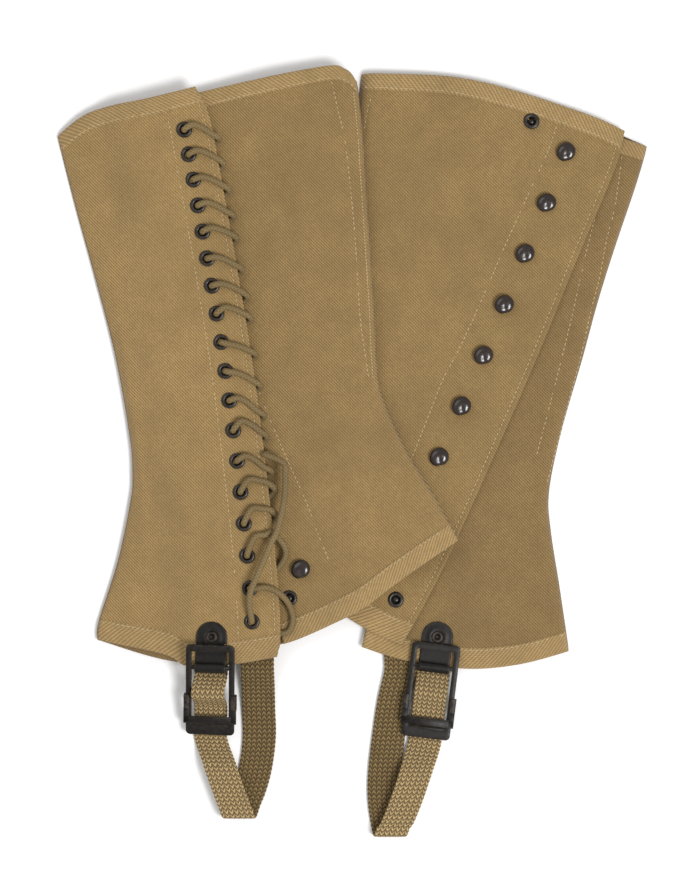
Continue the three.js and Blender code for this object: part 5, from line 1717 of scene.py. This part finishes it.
@dataclass
class LeftGaiter(Gaiter):
    """The lower gaiter: its hook flap lies open over its eyelet side."""

    def __post_init__(self) -> None:
        """Settles its place and its outlines."""
        self.placing = Placing.of()
        self.front_fold = Line.through(
            (5.5, 217), (0, 162), (-6, 99), (-11.5, 53), (-17.5, 30), (-30, 1), (-47.5, -25), (-65.5, -45))
        self.rear_fold = Line.through(
            (169.5, 175.5), (163, 153.5), (150.5, 116.5), (141, 86), (132, 53), (120, 11.5), (113, -23),
            (114, -45.5), (119, -77.5), (124.5, -114.5))
        self.free_edge = Line.through(
            (156.5, 184), (150.5, 162.5), (130, 113.5), (105.5, 53.5), (79.5, -6), (62.5, -44), (47.5, -75.5),
            (28.5, -111))
        self.hidden_edge = Line.through((88, 202.5), (59, 93), (30.5, -16), (5.5, -112))

    def build_inner(self) -> None:
        """Makes the inner panel."""
        patch = Patch.between(self.front_fold, self.rear_fold, [(60, 212), (120, 196)],
                              [(-30, -75), (5, -99), (60, -122)])
        Panel("left_inner_cloth", patch, level_at(1.0), ("left_inner_panel",), "left_gaiter", self.placing,
              finish=CANVAS_INNER, step=3.5, wave=0.0).build()

    def build_rear(self) -> None:
        """Makes the eyelet side with its tapes and stitching."""
        seam = Line.through((155, 170.5), (154, 161.5), (152, 147), (149.5, 134), (146.5, 123), (142, 99.5),
                            (137, 80), (131, 53), (122, 20), (112, -18))
        second = Line.through((141, 140), (134.6, 115), (126.5, 78.7), (117, 40), (106, -2))
        patch = Patch.between(self.hidden_edge, self.rear_fold, [(121, 191)],
                              [(31.5, -120), (66, -124.5), (96, -122)])
        # The eyelet side takes the darker canvas: painted shade, not a different cloth.
        rear = Panel("left_rear_cloth", patch, level_at(4.4), ("left_rear_panel",), "left_gaiter",
                     self.placing,
                     folds=(self.rear_fold,), seams=(seam, second), wave=0.3, rows=(0.0, 0.985),
                     finish=CANVAS_SHADED, quiet=(self.free_edge,))
        sewn = self.taped(rear, "left_rear_bottom_tape", True, "left_rear_bottom_binding")
        # The seen end of the top tape has no CAD node of its own.
        sewn.append(Binding("left_rear_top_tape", rear, False, self.top_tape, (), (0.62, 1.0)).build())
        sewn += [Stitching("left_rear_seam_stitching", seam, rear).build(),
                 Stitching("left_rear_second_stitching", second, rear).build()]
        rear.build(sewn)

    def build_front(self) -> None:
        """Makes the front with its hook flap, tapes and stitching, and the hooks' facing."""
        bend = Bend("left_gaiter", "left_hook_flap", (41.5, 86.5, 6.2), (0.9873, 0.1589, 0.0))
        facing = Line.through((120, 196), (112.5, 173), (102, 150), (96, 136.5), (87.5, 118), (79, 98),
                              (63.5, 63.5), (52, 41.5), (45.5, 25), (30, -14))
        seam = Line.through((10.8, 203.6), (9.1, 198.3), (7.9, 193.1), (7.6, 188.5), (6.8, 185))
        hem_line = Line(self.free_edge.at(np.linspace(0.03, 0.97, 60)) - [2.7, -1.1])
        patch = Patch.between(self.front_fold, self.free_edge,
                              [(20.5, 217), (59.5, 215), (96, 206.5), (138, 192.5)],
                              [(-30, -76.5), (8, -101.5)])
        front = Panel("left_front_cloth", patch, level_at(6.7), ("left_front_panel", "left_hook_flap"),
                      "left_gaiter", self.placing, finish=CANVAS_FRONT, bend=bend, folds=(self.front_fold,),
                      fold_radius=9.0, hems=(self.free_edge,), seams=(facing, hem_line, seam), wave=0.6,
                      rows=(0.01, 0.985),
                      pits=(self.spot("left_top_eyelet"), self.spot("left_bottom_eyelet")))
        sewn = self.taped(front, "left_flap_top_tape", False, "left_flap_top_binding")
        sewn += self.taped(front, "left_front_bottom_tape", True, "left_front_bottom_binding")
        sewn += [Stitching("left_hook_facing_stitching", facing, front).build(),
                 Stitching("left_flap_hem_stitching", hem_line, front).build(),
                 Stitching("left_front_seam_stitching", seam, front).build()]
        front.build(sewn)
        y = np.linspace(180, 10, 40)
        outer_side = Line(np.stack([self.free_edge.x_at(y) - 2.5, y], 1))
        hinge_x = 20.5 + (217 - y) / 261 * 42 + 3
        inner_side = Line(np.stack([np.maximum(hinge_x, self.free_edge.x_at(y) - 44), y + 10], 1))
        Panel("left_hook_facing_cloth", Patch.between(inner_side, outer_side, [], []), level_at(5.4),
              ("left_hook_facing",), "left_hook_flap", self.placing, finish=CANVAS_INNER, step=4.0, wave=0.0,
              thickness=0.7).build()

    def build_fittings(self) -> None:
        """Makes the hooks, the first six of them on the flap, and the two end eyelets."""
        for k in range(1, 10):
            body, depth = ("left_hook_flap", 2.0) if k <= 6 else ("left_gaiter", 1.0)
            lean = 42 + 9 * math.sin(k * 2.3)
            Hook(f"left_hook_{k}", body, self.placing, 6.9, depth, lean=lean).build()
        Eyelet("left_top_eyelet", "left_hook_flap", self.placing, 6.9, 2.0, False).build()
        Eyelet("left_bottom_eyelet", "left_gaiter", self.placing, 6.9, 1.0, False).build()

    def build(self) -> None:
        """Makes the gaiter with its buckle and strap."""
        self.build_inner()
        self.build_rear()
        self.build_front()
        self.build_fittings()
        buckle = Buckle("left", self.placing, "left_gaiter", 4.4, 2.5, -7.0)
        buckle.build()
        back = [(-4, -22.5), (-7, -43), (-9.5, -64), (-10, -82)]
        front = [(-2, -93), (3, -80), (8, -65)]
        strap = Strap(buckle, self.placing, (28, -120.5), back, (-7, -100), front, (0, -0.6), 2.2)
        strap.build(("left_gaiter", "left_gaiter", "left_buckle"))


# ---------------------------------------------------------------- the studio
@dataclass(frozen=True)
class Studio:
    """White paper, a broad soft light and a camera straight above."""

    height: float = 2.80
    eye: tuple[float, float] = (-0.0013, 0.0082)
    lens: float = 200.0
    floor: float = -0.0004
    sky: float = 0.56

    def build_camera(self) -> None:
        """Hangs the camera over the pair."""
        camera = bpy.data.cameras.new("studio_camera")
        camera.lens, camera.sensor_width, camera.sensor_fit = self.lens, 36.0, "AUTO"
        holder = bpy.data.objects.new("studio_camera", camera)
        holder.location = (*self.eye, self.height)
        bpy.context.collection.objects.link(holder)
        bpy.context.scene.camera = holder

    def build_floor(self) -> None:
        """Lays the paper: a flat plane just under the pair."""
        x, y = np.meshgrid(np.linspace(-4, 4, 33), np.linspace(-4, 4, 33), indexing="ij")
        points = np.stack([x, y, np.full_like(x, self.floor)], -1).reshape(-1, 3)
        mesh = bpy.data.meshes.new("paper")
        mesh.from_pydata(points.tolist(), [], grid_quads(33, 33)[0][:, ::-1].tolist())
        mesh.uv_layers.new(name="flat")
        mesh.materials.append(Paper("white_paper", (0.96, 0.96, 0.96)).make())
        floor = bpy.data.objects.new("paper", mesh)
        bpy.context.collection.objects.link(floor)

    def add_light(self, name: str, place: tuple[float, float, float], size: float, power: float) -> None:
        """Hangs a square soft light that looks at the pair."""
        light = bpy.data.lights.new(name, "AREA")
        light.shape, light.size, light.energy = "SQUARE", size, power
        holder = bpy.data.objects.new(name, light)
        holder.location = place
        away = np.array(place) / np.linalg.norm(place)
        holder.rotation_euler = (math.acos(away[2]), 0.0, math.atan2(away[1], away[0]) + math.pi / 2)
        holder.visible_camera = False
        bpy.context.collection.objects.link(holder)

    def build_light(self) -> None:
        """Sets the sky and hangs the lights."""
        world = bpy.data.worlds.new("studio")
        world.use_nodes = True
        world.node_tree.nodes["Background"].inputs[0].default_value = (1, 1, 1, 1)
        world.node_tree.nodes["Background"].inputs[1].default_value = self.sky
        bpy.context.scene.world = world
        bpy.context.scene.view_settings.view_transform = "Standard"
        self.add_light("key_light", (0.85, -0.6, 1.9), 0.75, 34.0)
        self.add_light("fill_light", (-1.0, 0.9, 1.7), 1.3, 7.0)


def main() -> None:
    """Builds the pair in order."""
    logging.basicConfig(level=logging.INFO, format="%(name)s: %(message)s")
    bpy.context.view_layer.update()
    studio = Studio()
    studio.build_camera()
    EffectLibrary().build()
    right, left = RightGaiter(), LeftGaiter()
    LaceRun(right.placing, right.free_edge).build()
    right.build()
    left.build()
    studio.build_floor()
    studio.build_light()


if __name__ == "__main__":
    main()
